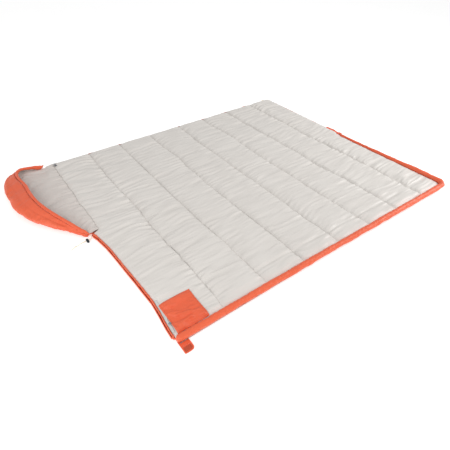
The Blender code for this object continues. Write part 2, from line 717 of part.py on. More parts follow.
class Hood:
    """A padded bowl that lies on the ground beyond the neck, its mouth facing up."""

    def __init__(self, parent):
        self.parent = parent
        self.middle = [[self.spine(i, k) for k in range(HOOD_ROWS + 1)] for i in range(HOOD_STATIONS + 1)]

    @staticmethod
    def spine(station, row):
        """A point of the padded wall's middle surface."""
        angle = math.pi * station / HOOD_STATIONS
        t = row / HOOD_ROWS
        swell = math.sin(angle) ** 1.2
        outer = HOOD_END_REACH + swell * (HOOD_REACH - HOOD_SKEW * math.cos(angle))
        mouth = HOOD_END_REACH + swell * (MOUTH_REACH - MOUTH_SKEW * math.cos(angle))
        base = LOFT / 2
        height = base + (MOUTH_HEIGHT - base) * math.sin(angle)
        bulge = BULGE * math.sin(angle) ** 0.6 * (outer - mouth)
        reach = (NECK_GAP, 0.6 * outer, mouth + bulge, mouth)
        rise = (base, base, base * 0.8, height)
        weights = ((1 - t) ** 3, 3 * (1 - t) ** 2 * t, 3 * (1 - t) * t**2, t**3)
        q = sum(w * r for w, r in zip(weights, reach))
        z = sum(w * r for w, r in zip(weights, rise))
        near = FOLD_Y + HOOD_NEAR_MARGIN
        far = FAR_Y - HOOD_FAR_MARGIN
        return Vector((HEAD_X - q, (near + far) / 2 - (far - near) / 2 * math.cos(angle), z))

    @staticmethod
    def thickness(station, row):
        """The padding is thinner towards the mouth and towards the hood's two ends."""
        share = HOOD_END_LOFT + (1 - HOOD_END_LOFT) * math.sin(math.pi * station / HOOD_STATIONS)
        t = row / HOOD_ROWS
        if t < HOOD_EASING:
            return LOFT + (HOOD_LOFT * share - LOFT) * t / HOOD_EASING
        return share * (HOOD_LOFT + (MOUTH_LOFT - HOOD_LOFT) * (t - HOOD_EASING) / (1 - HOOD_EASING))

    def normal(self, station, row):
        """The surface's direction away from the ground side, towards the lining."""
        ahead = self.middle[min(station + 1, HOOD_STATIONS)][row] - self.middle[max(station - 1, 0)][row]
        along = self.middle[station][min(row + 1, HOOD_ROWS)] - self.middle[station][max(row - 1, 0)]
        return ahead.cross(along).normalized()

    def skin(self, station, row, share, inset):
        """A point this share of the way through the padding and this far further in."""
        thickness = self.thickness(station, row)
        depth = thickness * share + inset
        point = self.middle[station][row] + self.normal(station, row) * (depth - thickness / 2)
        return Vector((point.x, point.y, max(point.z, depth * 0.9)))

    def layer(self, name, low, high, finish, short=0):
        """A solid between two (share, inset) depths, kept short of the seams."""
        rings = []
        for station in range(1 + short, HOOD_STATIONS - short):
            rows = range(HOOD_ROWS + 1 - short)
            under = [tuple(self.skin(station, row, *low)) for row in rows]
            over = [tuple(self.skin(station, row, *high)) for row in rows]
            rings.append(under + over[::-1])
        loft(name, rings, finish, self.parent, smooth=True)

    def hem_path(self):
        """The middle of the hem channel, just past the padded wall's upper edge."""
        path = []
        for station in range(HOOD_STATIONS + 1):
            edge = self.middle[station][HOOD_ROWS]
            on = (edge - self.middle[station][HOOD_ROWS - 1]).normalized()
            path.append(edge + on * (HEM_RADIUS + HEM_EASE))
        near = path[1] + Vector(HEM_NEAR_END)
        far = path[-2] + Vector(HEM_FAR_END)
        return [near, *path[1:-1], far]

    def build(self):
        inside = CLOTH + PADDING_EASE
        self.layer("hood_shell", (0, 0), (0, CLOTH), ORANGE)
        self.layer("hood_insulation", (0, inside), (1, -inside), FILL, short=1)
        self.layer("hood_lining", (1, -CLOTH), (1, 0), LINING)
        path = self.hem_path()
        gathered = CORD_RADIUS + CORD_CLEARANCE + CLOTH
        radii = [gathered, *[HEM_RADIUS] * (len(path) - 2), gathered]
        hollow_tube("hood_hem", path, radii, CLOTH, 10, ORANGE, self.parent)
        cord_curve("hood_drawcord", path, CORD_RADIUS, CORD, self.parent)
        last = path[-1]
        before = path[-2]
        on = (last - before).normalized()
        ring_on_cord("drawcord_anchor", last + on * (KNOT_LENGTH / 2 + GAP), on, 0.0, self.parent)
        return path[0], path[1]


def ring_on_cord(name, middle, direction, bore, parent):
    """A knot: a fat turned bead, bored for the cord where it runs on through."""
    side = direction.cross(Vector((0, 0, 1))).normalized()
    up = side.cross(direction).normalized()
    half = KNOT_LENGTH / 2
    profile = []
    for step in range(KNOT_STEPS + 1):
        angle = math.pi * step / KNOT_STEPS
        radius = max(KNOT_RADIUS * math.sin(angle) ** KNOT_FULLNESS, bore + 2 * GAP)
        profile.append((-half * math.cos(angle), radius))
    if bore:
        profile += [(half, bore), (-half, bore)]
    rings = [
        [tuple(middle + direction * along + side * u + up * v) for u, v in circle(radius, 12)]
        for along, radius in profile
    ]
    return loft(name, rings, CORD, parent, closed=bool(bore), smooth=True)


def smooth_route(points, samples):
    """Points on a smooth curve through a list of hand-set points."""
    route = []
    for i in range(len(points) - 1):
        a, b = points[max(i - 1, 0)], points[i]
        c, d = points[i + 1], points[min(i + 2, len(points) - 1)]
        for step in range(samples):
            t = step / samples
            square = (2 * a - 5 * b + 4 * c - d) * t**2
            cube = (3 * b - a - 3 * c + d) * t**3
            route.append((2 * b + (c - a) * t + square + cube) / 2)
    route.append(points[-1])
    return route


def build_cord(hood, mouth, behind):
    """The drawcord's free tail and the knot near its end."""
    start = mouth + (mouth - behind).normalized() * GAP
    route = smooth_route([start + Vector(step) for step in CORD_STEPS], CORD_SAMPLES)
    cord_curve("drawcord_tail", route, CORD_RADIUS, CORD, hood)
    index = KNOT_STEP * CORD_SAMPLES
    direction = (route[index + 1] - route[index - 1]).normalized()
    ring_on_cord("drawcord_knot", route[index], direction, CORD_RADIUS + CORD_CLEARANCE, hood)
    return start + Vector(CORD_STEPS[LOCK_STEP])


def tube_along_y(name, x, z, radius, start, end, finish, parent):
    rings = [[(x + u, y, z + v) for u, v in circle(radius, 24)] for y in (start, end)]
    return loft(name, rings, finish, parent, smooth=True)


def build_cord_lock(hood, centre):
    """A barrel on the tail with a sprung plunger; the cord runs through both crosswise."""
    x, y, z = centre
    slide = joint_frame("cord_lock_frame", (x, y, z), hood)
    start, end = y - BARREL_LENGTH / 2, y + BARREL_LENGTH / 2
    barrel = tube_along_y("cord_lock_barrel", x, z, BARREL_RADIUS, start, end, BLACK, slide)
    bore = BARREL_RADIUS - BARREL_WALL
    floor_y = end - BARREL_WALL
    cut(barrel, tube_along_y("barrel_bore_cutter", x, z, bore, start - CUTTER_MARGIN, floor_y, BLACK, None))
    hole = CORD_RADIUS + CORD_CLEARANCE
    reach = BARREL_RADIUS + CUTTER_MARGIN
    cut(barrel, rod("barrel_cord_cutter", [(x - reach, y, z), (x + reach, y, z)], hole, 12, BLACK, None))
    press = joint_frame("plunger_frame", (x, y, z), slide)
    back = y + hole + PLUNGER_BACK
    plunger = tube_along_y(
        "cord_lock_plunger", x, z, bore - LOCK_CLEARANCE, start - PLUNGER_STAND, back, BLACK, press
    )
    slot = box_outline(y - hole - PLUNGER_TRAVEL, y + hole, z - hole, z + hole, hole * 0.9, 4)
    cut(plunger, prism("plunger_slot_cutter", slot, x - reach, x + reach, "X", BLACK))
    build_spring(slide, x, z, back + GAP, floor_y - GAP, bore)


def build_spring(parent, x, z, start, end, bore):
    """The coil spring between the plunger and the barrel's floor."""
    radius = bore - SPRING_WIRE - 3 * GAP
    steps = SPRING_TURNS * SPRING_SIDES
    first, last = start + SPRING_WIRE, end - SPRING_WIRE
    path = []
    for step in range(steps + 1):
        angle = 2 * math.pi * SPRING_TURNS * step / steps
        along = first + (last - first) * step / steps
        path.append(Vector((x + radius * math.cos(angle), along, z + radius * math.sin(angle))))
    rings = []
    for step, point in enumerate(path):
        outward = Vector((point.x - x, 0, point.z - z)).normalized()
        along = Vector((0, 1, 0))
        rings.append([tuple(point + outward * u + along * v) for u, v in circle(SPRING_WIRE, 6)])
    loft("cord_lock_spring", rings, SPRING, parent, smooth=True)


def main():
    clear_scene()
    Panel("back", HEAD_X, FOOT_X, FOLD_Y + GAP / 2, FAR_Y, 1).build()
    front = joint_frame("front_frame", (0, FOLD_Y, HINGE_Z))
    Panel("front", FRONT_HEAD_X, FRONT_FOOT_X, FRONT_EDGE_Y, FOLD_Y - GAP / 2, -1, front).build()
    build_zip_half("back", 1, ZIP_BOTTOM_GAP)
    build_zip_half("front", -1, ZIP_BOTTOM_GAP, front)
    build_zip_bottom(front)
    build_slider("head_slider", HEAD_SLIDER_X)
    build_slider("foot_slider", FOOT_SLIDER_X)
    build_end_strip()
    build_hanging_loop()
    build_back_trim()
    build_front_edge(front)
    build_neck_trim(front)
    build_label(front)
    build_garage_flap(front)
    hood = joint_frame("hood_frame", (HEAD_X, (FOLD_Y + FAR_Y) / 2, HINGE_Z))
    mouth, behind = Hood(hood).build()
    lock_centre = build_cord(hood, mouth, behind)
    build_cord_lock(hood, lock_centre)


main()
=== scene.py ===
"""Looks for a hooded camp quilt that lies opened flat, lining side up.

+X runs to the foot, +Y to the far side, +Z up, in metres, as in the frame's own model.
"""
import logging
import math
from dataclasses import dataclass, field
from enum import Enum
from functools import lru_cache
from typing import Any, Callable, Iterable, Sequence

import bmesh
import bpy
import numpy as np
from mathutils import Matrix, Vector


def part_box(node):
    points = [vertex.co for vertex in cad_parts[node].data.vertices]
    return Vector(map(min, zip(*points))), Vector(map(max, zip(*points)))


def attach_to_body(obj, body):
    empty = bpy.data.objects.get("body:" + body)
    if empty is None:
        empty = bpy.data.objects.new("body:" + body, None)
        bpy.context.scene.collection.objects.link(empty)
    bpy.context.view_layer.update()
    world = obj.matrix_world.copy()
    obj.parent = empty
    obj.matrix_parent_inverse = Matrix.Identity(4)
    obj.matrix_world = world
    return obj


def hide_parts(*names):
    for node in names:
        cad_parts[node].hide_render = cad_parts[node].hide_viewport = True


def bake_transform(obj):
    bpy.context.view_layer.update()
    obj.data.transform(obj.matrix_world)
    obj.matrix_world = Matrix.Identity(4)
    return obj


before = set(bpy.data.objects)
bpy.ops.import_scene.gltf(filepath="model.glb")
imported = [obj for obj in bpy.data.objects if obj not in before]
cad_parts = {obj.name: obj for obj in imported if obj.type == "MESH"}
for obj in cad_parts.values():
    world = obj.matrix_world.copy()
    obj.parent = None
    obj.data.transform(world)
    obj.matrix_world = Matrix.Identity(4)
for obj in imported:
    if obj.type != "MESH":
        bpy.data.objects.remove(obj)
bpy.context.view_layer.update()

LOG = logging.getLogger("quilt")
MM = 0.001
TAU = 2 * math.pi
UPRIGHT = (math.pi / 2, 0.0, 0.0)
FACING = 0.9

Colour = tuple[float, float, float]
Point = tuple[float, float, float]
Span = tuple[float, float]


# ---------------------------------------------------------------- numbers over a surface


@lru_cache(maxsize=None)
def _table(seed: int) -> np.ndarray:
    """A table of random heights, the same each run."""
    return np.random.default_rng(seed).uniform(-1.0, 1.0, (64, 64))


def ripple(seed: int, u: Any, v: Any) -> np.ndarray:
    """Smooth repeatable noise.

    Args:
        seed: which pattern to read.
        u: first place, one unit for each bump.
        v: second place, one unit for each bump.

    Returns:
        Heights from about -1 to 1.
    """
    u, v = np.broadcast_arrays(np.asarray(u, float), np.asarray(v, float))
    cell_u, cell_v = np.floor(u).astype(int), np.floor(v).astype(int)
    du, dv = u - cell_u, v - cell_v
    du, dv = du * du * (3 - 2 * du), dv * dv * (3 - 2 * dv)
    table = _table(seed)
    i, j, k, m = cell_u % 64, (cell_u + 1) % 64, cell_v % 64, (cell_v + 1) % 64
    low = table[i, k] * (1 - du) + table[j, k] * du
    high = table[i, m] * (1 - du) + table[j, m] * du
    return low * (1 - dv) + high * dv


def crease(seed: int, u: Any, v: Any) -> np.ndarray:
    """Rounded ridges with tight valleys between them, from about -1 to 1."""
    first = ripple(seed, u, v)
    second = ripple(seed + 1, 2.1 * np.asarray(u), 1.7 * np.asarray(v))
    mixed = first + 0.4 * second
    return 1.0 - 2.2 * (np.sqrt(mixed * mixed + 0.012) - 0.1)


def rise(value: Any, low: float, high: float) -> np.ndarray:
    """A smooth step from 0 at low to 1 at high."""
    t = np.clip((np.asarray(value, float) - low) / (high - low), 0.0, 1.0)
    return t * t * (3 - 2 * t)


def crown(value: Any, reach: float, power: float = 2.2) -> np.ndarray:
    """A puffed profile: steep at 0 and level from reach on."""
    t = np.clip(np.asarray(value, float) / reach, 0.0, 1.0)
    return 1.0 - (1.0 - t) ** power


def bell(offset: Any, width: float) -> np.ndarray:
    """A smooth bump, 1 at no offset."""
    return np.exp(-((offset / width) ** 2))


def fade(distance: Any, reach: float) -> np.ndarray:
    """Dies away from 1 with distance."""
    return np.exp(-distance / reach)


def turns(count: int) -> np.ndarray:
    """Angles once round, in one row."""
    return np.linspace(0, TAU, count, endpoint=False)[None, :]


def unit(vectors: np.ndarray) -> np.ndarray:
    """The vectors at length 1."""
    return vectors / np.maximum(np.linalg.norm(vectors, axis=-1, keepdims=True), 1e-9)


@dataclass(frozen=True)
class Folds:
    """A family of creases: its pattern, how close they lie, how long they run and how high they stand."""

    seed: int
    pitch: float
    run: float
    height: float = 1.0

    def __call__(self, across: Any, along: Any, shift: tuple[Any, Any] = (0.0, 0.0)) -> np.ndarray:
        """Heights over a surface, with the pattern shifted on request."""
        u = np.asarray(across) / self.pitch + shift[0]
        v = np.asarray(along) / self.run + shift[1]
        return self.height * crease(self.seed, u, v)


@dataclass(frozen=True)
class Wave:
    """A slow wander along one direction: its pattern, its length and its height."""

    seed: int
    pitch: float
    height: float

    def __call__(self, along: Any) -> np.ndarray:
        """Heights along the line."""
        return self.height * ripple(self.seed, np.asarray(along, float) / self.pitch, 0.0)


# ---------------------------------------------------------------- shader maths


class Wire:
    """A node's output whose arithmetic adds Math nodes."""

    def __init__(self, shade: "Shade", socket: bpy.types.NodeSocket) -> None:
        """Holds the socket and the tree that it belongs to."""
        self.shade = shade
        self.socket = socket

    def _math(self, operation: str, first: Any, second: Any) -> "Wire":
        """Adds one Math node."""
        return self.shade.node("ShaderNodeMath", {"operation": operation}, {0: first, 1: second})

    def __add__(self, other: Any) -> "Wire":
        """Sum."""
        return self._math("ADD", self, other)

    __radd__ = __add__

    def __mul__(self, other: Any) -> "Wire":
        """Product."""
        return self._math("MULTIPLY", self, other)

    __rmul__ = __mul__

    def __sub__(self, other: Any) -> "Wire":
        """Difference."""
        return self._math("SUBTRACT", self, other)

    def __rsub__(self, other: Any) -> "Wire":
        """Difference, the other way."""
        return self._math("SUBTRACT", other, self)

    def __pow__(self, other: Any) -> "Wire":
        """Power."""
        return self._math("POWER", self, other)


class Shade:
    """One material's node tree."""

    def __init__(self, name: str) -> None:
        """Starts a material with an empty Principled shader."""
        self.material = bpy.data.materials.new(name)
        self.material.use_nodes = True
        self.tree = self.material.node_tree
        self.shader = self.tree.nodes["Principled BSDF"]
        self.place = self.node("ShaderNodeTexCoord", {}, {}, "Object")

    def node(self, kind: str, settings: dict[str, Any], inputs: dict[Any, Any], output: Any = 0) -> Wire:
        """Adds any node.

        Args:
            kind: the node's type.
            settings: what is set on the node itself first; "stops" fills a colour ramp.
            inputs: a value or a Wire for each socket, by name or number.
            output: the output to read.

        Returns:
            That output.
        """
        made = self.tree.nodes.new(kind)
        for key, value in settings.items():
            if key == "stops":
                ramp = made.color_ramp
                for index, (at, tone) in enumerate(value):
                    stop = ramp.elements[index] if index < 2 else ramp.elements.new(at)
                    stop.position, stop.color = at, (*tone, 1.0)
            else:
                setattr(made, key, value)
        for key, value in inputs.items():
            if isinstance(value, Wire):
                self.tree.links.new(value.socket, made.inputs[key])
            else:
                made.inputs[key].default_value = value
        return Wire(self, made.outputs[output])

    def noise(self, scale: float, detail: float = 2.0, stretch: Point = (1.0, 1.0, 1.0)) -> Wire:
        """Noise on the piece's own coordinates, 0 to 1."""
        at = self.node("ShaderNodeMapping", {}, {"Vector": self.place, "Scale": stretch})
        return self.node("ShaderNodeTexNoise", {}, {"Vector": at, "Scale": scale, "Detail": detail})

    def bands(self, axis: str, pitch: float, warp: float = 0.0) -> Wire:
        """Straight bands across an axis, one for each pitch."""
        return self.node(
            "ShaderNodeTexWave",
            {"wave_type": "BANDS", "bands_direction": axis, "wave_profile": "SIN"},
            {"Vector": self.place, "Scale": TAU / 20 / pitch, "Distortion": warp},
        )

    def tones(self, share: Wire, first: Colour, second: Colour) -> Wire:
        """A mix of two colours."""
        return self.node(
            "ShaderNodeMix",
            {"data_type": "RGBA"},
            {0: share, 6: (*first, 1.0), 7: (*second, 1.0)},
            2,
        )

    def bump(self, height: Wire, distance: float, strength: float = 1.0) -> Wire:
        """Turns a height into a normal."""
        return self.node("ShaderNodeBump", {}, {"Height": height, "Distance": distance, "Strength": strength})

    def feed(self, **sockets: Any) -> None:
        """Sets or links the shader's sockets, with _ for a blank."""
        for key, value in sockets.items():
            socket = self.shader.inputs[key.replace("_", " ")]
            if isinstance(value, Wire):
                self.tree.links.new(value.socket, socket)
            else:
                socket.default_value = value


@dataclass(frozen=True)
class Cloth:
    """A woven cloth with a slight sheen, creased in use."""

    name: str
    colour: Colour
    shadow: Colour
    roughness: float
    pitch: float = 0.0011
    weave: float = 0.00006
    crinkle: float = 0.0006
    sheen: float = 0.2
    grain: Point = (1.0, 1.0, 1.0)

    def build(self) -> bpy.types.Material:
        """Makes the material."""
        shade = Shade(self.name)
        cloudy = shade.noise(7.0, 4.0)
        fine = shade.noise(60.0, 3.0, self.grain)
        threads = shade.bands("X", self.pitch) * 0.5 + shade.bands("Y", self.pitch) * 0.5
        share = (cloudy * 0.75 + fine * 0.35 + threads * 0.12 - 0.16) ** 1.1
        height = threads * (self.weave / MM) + fine * (self.crinkle / MM)
        shade.feed(
            Base_Color=shade.tones(share, self.shadow, self.colour),
            Roughness=fine * 0.14 + (self.roughness - 0.07),
            Sheen_Weight=self.sheen,
            Sheen_Roughness=0.45,
            Specular_IOR_Level=0.32,
            Normal=shade.bump(height, MM),
        )
        return shade.material


@dataclass(frozen=True)
class Webbing:
    """A ribbed tape, webbing or cord in one yarn."""

    name: str
    colour: Colour
    shadow: Colour
    pitch: float
    axis: str = "X"
    roughness: float = 0.8

    def build(self) -> bpy.types.Material:
        """Makes the material."""
        shade = Shade(self.name)
        ribs = shade.bands(self.axis, self.pitch, 1.0)
        cross = shade.bands("DIAGONAL", self.pitch * 0.8, 0.6)
        fuzz = shade.noise(900.0, 2.0)
        share = ribs * 0.5 + cross * 0.25 + fuzz * 0.4
        shade.feed(
            Base_Color=shade.tones(share, self.shadow, self.colour),
            Roughness=fuzz * 0.1 + self.roughness - 0.05,
            Sheen_Weight=0.25,
            Normal=shade.bump(ribs * 0.6 + cross * 0.3 + fuzz * 0.2, 0.0003),
        )
        return shade.material


@dataclass(frozen=True)
class HookTape:
    """The tiny stiff hooks or loops of a touch fastener."""

    name: str
    colour: Colour
    shadow: Colour

    def build(self) -> bpy.types.Material:
        """Makes the material."""
        shade = Shade(self.name)
        dots = shade.node(
            "ShaderNodeTexVoronoi", {"feature": "F1"}, {"Vector": shade.place, "Scale": 850.0}, "Distance"
        )
        shade.feed(
            Base_Color=shade.tones(dots * 1.4, self.colour, self.shadow),
            Roughness=dots * 0.2 + 0.65,
            Normal=shade.bump(1.0 - dots, 0.0008),
        )
        return shade.material


@dataclass(frozen=True)
class Moulded:
    """Moulded plastic with a faint grain, rubbed lighter in places."""

    name: str
    colour: Colour
    rubbed: Colour
    roughness: float

    def build(self) -> bpy.types.Material:
        """Makes the material."""
        shade = Shade(self.name)
        grain = shade.noise(1500.0, 2.0)
        rubs = shade.noise(160.0, 4.0)
        shade.feed(
            Base_Color=shade.tones(rubs ** 3.0, self.colour, self.rubbed),
            Roughness=rubs * 0.2 + self.roughness - 0.1,
            Normal=shade.bump(grain, 0.00006),
        )
        return shade.material


@dataclass(frozen=True)
class Metal:
    """Plated metal with fine rubbing marks."""

    name: str
    colour: Colour
    worn: Colour
    roughness: float

    def build(self) -> bpy.types.Material:
        """Makes the material."""
        shade = Shade(self.name)
        marks = shade.noise(700.0, 3.0, (1.0, 0.15, 1.0))
        cloudy = shade.noise(220.0, 2.0)
        shade.feed(
            Base_Color=shade.tones(cloudy ** 2.0, self.colour, self.worn),
            Metallic=0.9,
            Roughness=marks * 0.25 + self.roughness - 0.12,
            Normal=shade.bump(marks, 0.00005),
        )
        return shade.material


class Look(Enum):
    """The finishes on the quilt."""

    SHELL = Cloth("orange_taffeta", (0.86, 0.152, 0.066), (0.72, 0.112, 0.046), 0.52, sheen=0.05)
    LINING = Cloth(
        "warm_grey_taffeta", (0.735, 0.705, 0.668), (0.655, 0.62, 0.583), 0.38, sheen=0.06, grain=(0.3, 1.6, 1.0)
    )
    # A darker copy of the lining's grey for the hood's inside: painted shade for the hollow of the hood.
    HOOD_LINING = Cloth("grey_taffeta_painted_shade", (0.690, 0.642, 0.604), (0.590, 0.540, 0.505), 0.42, sheen=0.06)
    TUBE = Cloth("orange_satin", (0.86, 0.156, 0.068), (0.74, 0.116, 0.048), 0.42, sheen=0.05)
    TAPE = Webbing("orange_zip_tape", (0.74, 0.14, 0.07), (0.55, 0.09, 0.04), 0.0012)
    COIL = Moulded("nylon_coil", (0.60, 0.56, 0.52), (0.74, 0.72, 0.69), 0.36)
    STEEL = Metal("grey_steel", (0.20, 0.21, 0.23), (0.42, 0.43, 0.45), 0.34)
    SPRING = Metal("spring_steel", (0.5, 0.5, 0.52), (0.66, 0.66, 0.68), 0.28)
    BLACK = Moulded("black_plastic", (0.010, 0.020, 0.024), (0.05, 0.07, 0.08), 0.36)
    PULL = Moulded("orange_pull", (0.80, 0.12, 0.05), (0.90, 0.30, 0.18), 0.42)
    CREAM = Webbing("cream_webbing", (0.78, 0.71, 0.50), (0.52, 0.45, 0.28), 0.0011)
    GREY = Webbing("grey_webbing", (0.62, 0.61, 0.58), (0.42, 0.41, 0.39), 0.0010)
    HOOKS = HookTape("hook_tape", (0.20, 0.20, 0.21), (0.05, 0.05, 0.055))
    ORANGE_HOOKS = HookTape("orange_hook_tape", (0.66, 0.105, 0.045), (0.45, 0.065, 0.026))
    CORD = Webbing("cream_cord", (0.50, 0.43, 0.24), (0.24, 0.19, 0.10), 0.0014, "DIAGONAL")
    THREAD = Webbing("seam_thread", (0.60, 0.50, 0.45), (0.44, 0.35, 0.31), 0.0006)
    ORANGE_THREAD = Webbing("orange_thread", (0.62, 0.10, 0.045), (0.45, 0.07, 0.03), 0.0006)

    @property
    def material(self) -> bpy.types.Material:
        """The built material, made on first use."""
        return bpy.data.materials.get(self.value.name) or self.value.build()


# ---------------------------------------------------------------- meshes


@dataclass
class Surface:
    """Points and faces on their way to becoming a piece."""

    points: np.ndarray
    faces: list[Sequence[int]]

    def piece(self, name: str, look: Look, smooth: bool = True) -> bpy.types.Object:
        """Makes the piece, at the origin with its place in its mesh."""
        data = bpy.data.meshes.new(name)
        data.from_pydata(np.asarray(self.points, float).tolist(), [], [list(map(int, f)) for f in self.faces])
        data.validate()
        data.polygons.foreach_set("use_smooth", [smooth] * len(data.polygons))
        data.materials.append(look.material)
        work = bmesh.new()
        work.from_mesh(data)
        if not any(edge.is_boundary for edge in work.edges) and work.calc_volume(signed=True) < 0:
            bmesh.ops.reverse_faces(work, faces=work.faces)
            work.to_mesh(data)
        work.free()
        data.update()
        obj = bpy.data.objects.new(name, data)
        bpy.context.collection.objects.link(obj)
        return obj


def quads(rows: int, columns: int, wrap: bool = False) -> np.ndarray:
    """Faces of a grid of points, wrapped round on request."""
    i = np.arange(rows - 1)[:, None]
    j = np.arange(columns if wrap else columns - 1)[None, :]
    k = (j + 1) % columns
    low, high = i * columns, (i + 1) * columns
    return np.stack([low + j, low + k, high + k, high + j], -1).reshape(-1, 4)


def rim(rows: int, columns: int) -> list[int]:
    """The outer points of a grid, once round."""
    loop = [*range(columns), *(j * columns + columns - 1 for j in range(1, rows))]
    loop += [(rows - 1) * columns + i for i in range(columns - 2, -1, -1)]
    return loop + [j * columns for j in range(rows - 2, 0, -1)]


def loft(rings: np.ndarray) -> Surface:
    """A closed surface through rings of points, capped at both ends."""
    rows, columns = rings.shape[:2]
    caps = [range(columns)[::-1], range((rows - 1) * columns, rows * columns)]
    return Surface(rings.reshape(-1, 3), [*quads(rows, columns, True), *caps])


def tube(path: np.ndarray, radii: np.ndarray) -> Surface:
    """A closed tube.

    Args:
        path: the middle line's points.
        radii: a radius for each point and each turn position, rows by columns.

    Returns:
        The tube's surface.
    """
    ahead = unit(np.gradient(path, axis=0))
    side = unit(np.cross(ahead, (0.0, 0.0, 1.0)))
    up = np.cross(side, ahead)
    turn = turns(radii.shape[1])[..., None]
    ring = side[:, None] * np.cos(turn) + up[:, None] * np.sin(turn)
    return loft(path[:, None] + ring * radii[..., None])


def slab(top: np.ndarray, thickness: float) -> Surface:
    """A thin closed cloth under a grid of points.

    Args:
        top: the upper side's points, rows by columns.
        thickness: how thick the cloth is.

    Returns:
        The closed surface.
    """
    rows, columns = top.shape[:2]
    size = rows * columns
    over = quads(rows, columns)[:, ::-1]
    loop = rim(rows, columns)
    sides = [(b, b + size, a + size, a) for a, b in zip(loop, loop[1:] + loop[:1])]
    faces = np.concatenate([over, over[:, ::-1] + size, sides])
    if np.cross(top[0, 1] - top[0, 0], top[1, 0] - top[0, 0])[2] > 0:
        faces = faces[:, ::-1]
    points = np.concatenate([top.reshape(-1, 3), (top - (0.0, 0.0, thickness)).reshape(-1, 3)])
    return Surface(points, list(faces))


def smooth_line(points: np.ndarray, samples: int) -> np.ndarray:
    """A smooth line through the given points, with some samples for each stretch."""
    line = []
    for i in range(len(points) - 1):
        a, b = points[max(i - 1, 0)], points[i]
        c, d = points[i + 1], points[min(i + 2, len(points) - 1)]
        for t in np.linspace(0, 1, samples, endpoint=False):
            square, cube = (2 * a - 5 * b + 4 * c - d) * t * t, (3 * b - a - 3 * c + d) * t**3
            line.append((2 * b + (c - a) * t + square + cube) / 2)
    return np.array([*line, points[-1]])


def run_of(points: np.ndarray) -> np.ndarray:
    """The length along a line up to each of its points."""
    return np.concatenate([[0], np.cumsum(np.linalg.norm(np.diff(points, axis=0), axis=1))])


def resample(points: np.ndarray, step: float) -> np.ndarray:
    """Points spaced evenly along a smooth line through the given ones."""
    dense = smooth_line(np.asarray(points, float), 12)
    length = run_of(dense)
    at = np.linspace(0, length[-1], max(int(length[-1] / step), 2) + 1)
    return np.stack([np.interp(at, length, dense[:, k]) for k in range(3)], 1)


def line_length(points: np.ndarray) -> float:
    """The length of a line of points."""
    return float(np.linalg.norm(np.diff(points, axis=0), axis=1).sum())


def between(a: np.ndarray, b: np.ndarray) -> Matrix:
    """The place halfway from one point to the next, with Y along the step."""
    turn = Vector(b - a).to_track_quat("Y", "Z").to_matrix().to_4x4()
    return Matrix.Translation(Vector((a + b) / 2)) @ turn


def places_along(line: np.ndarray) -> list[Matrix]:
    """A place for each step of a line."""
    return [between(a, b) for a, b in zip(line, line[1:])]


def attach(piece: bpy.types.Object, body: str, slot: str, *nodes: str) -> bpy.types.Object:
    """Puts a piece on its body and in place of its nodes."""
    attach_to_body(piece, body)
    if nodes:
        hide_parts(*nodes)
    return piece


# ---------------------------------------------------------------- bench work with operators


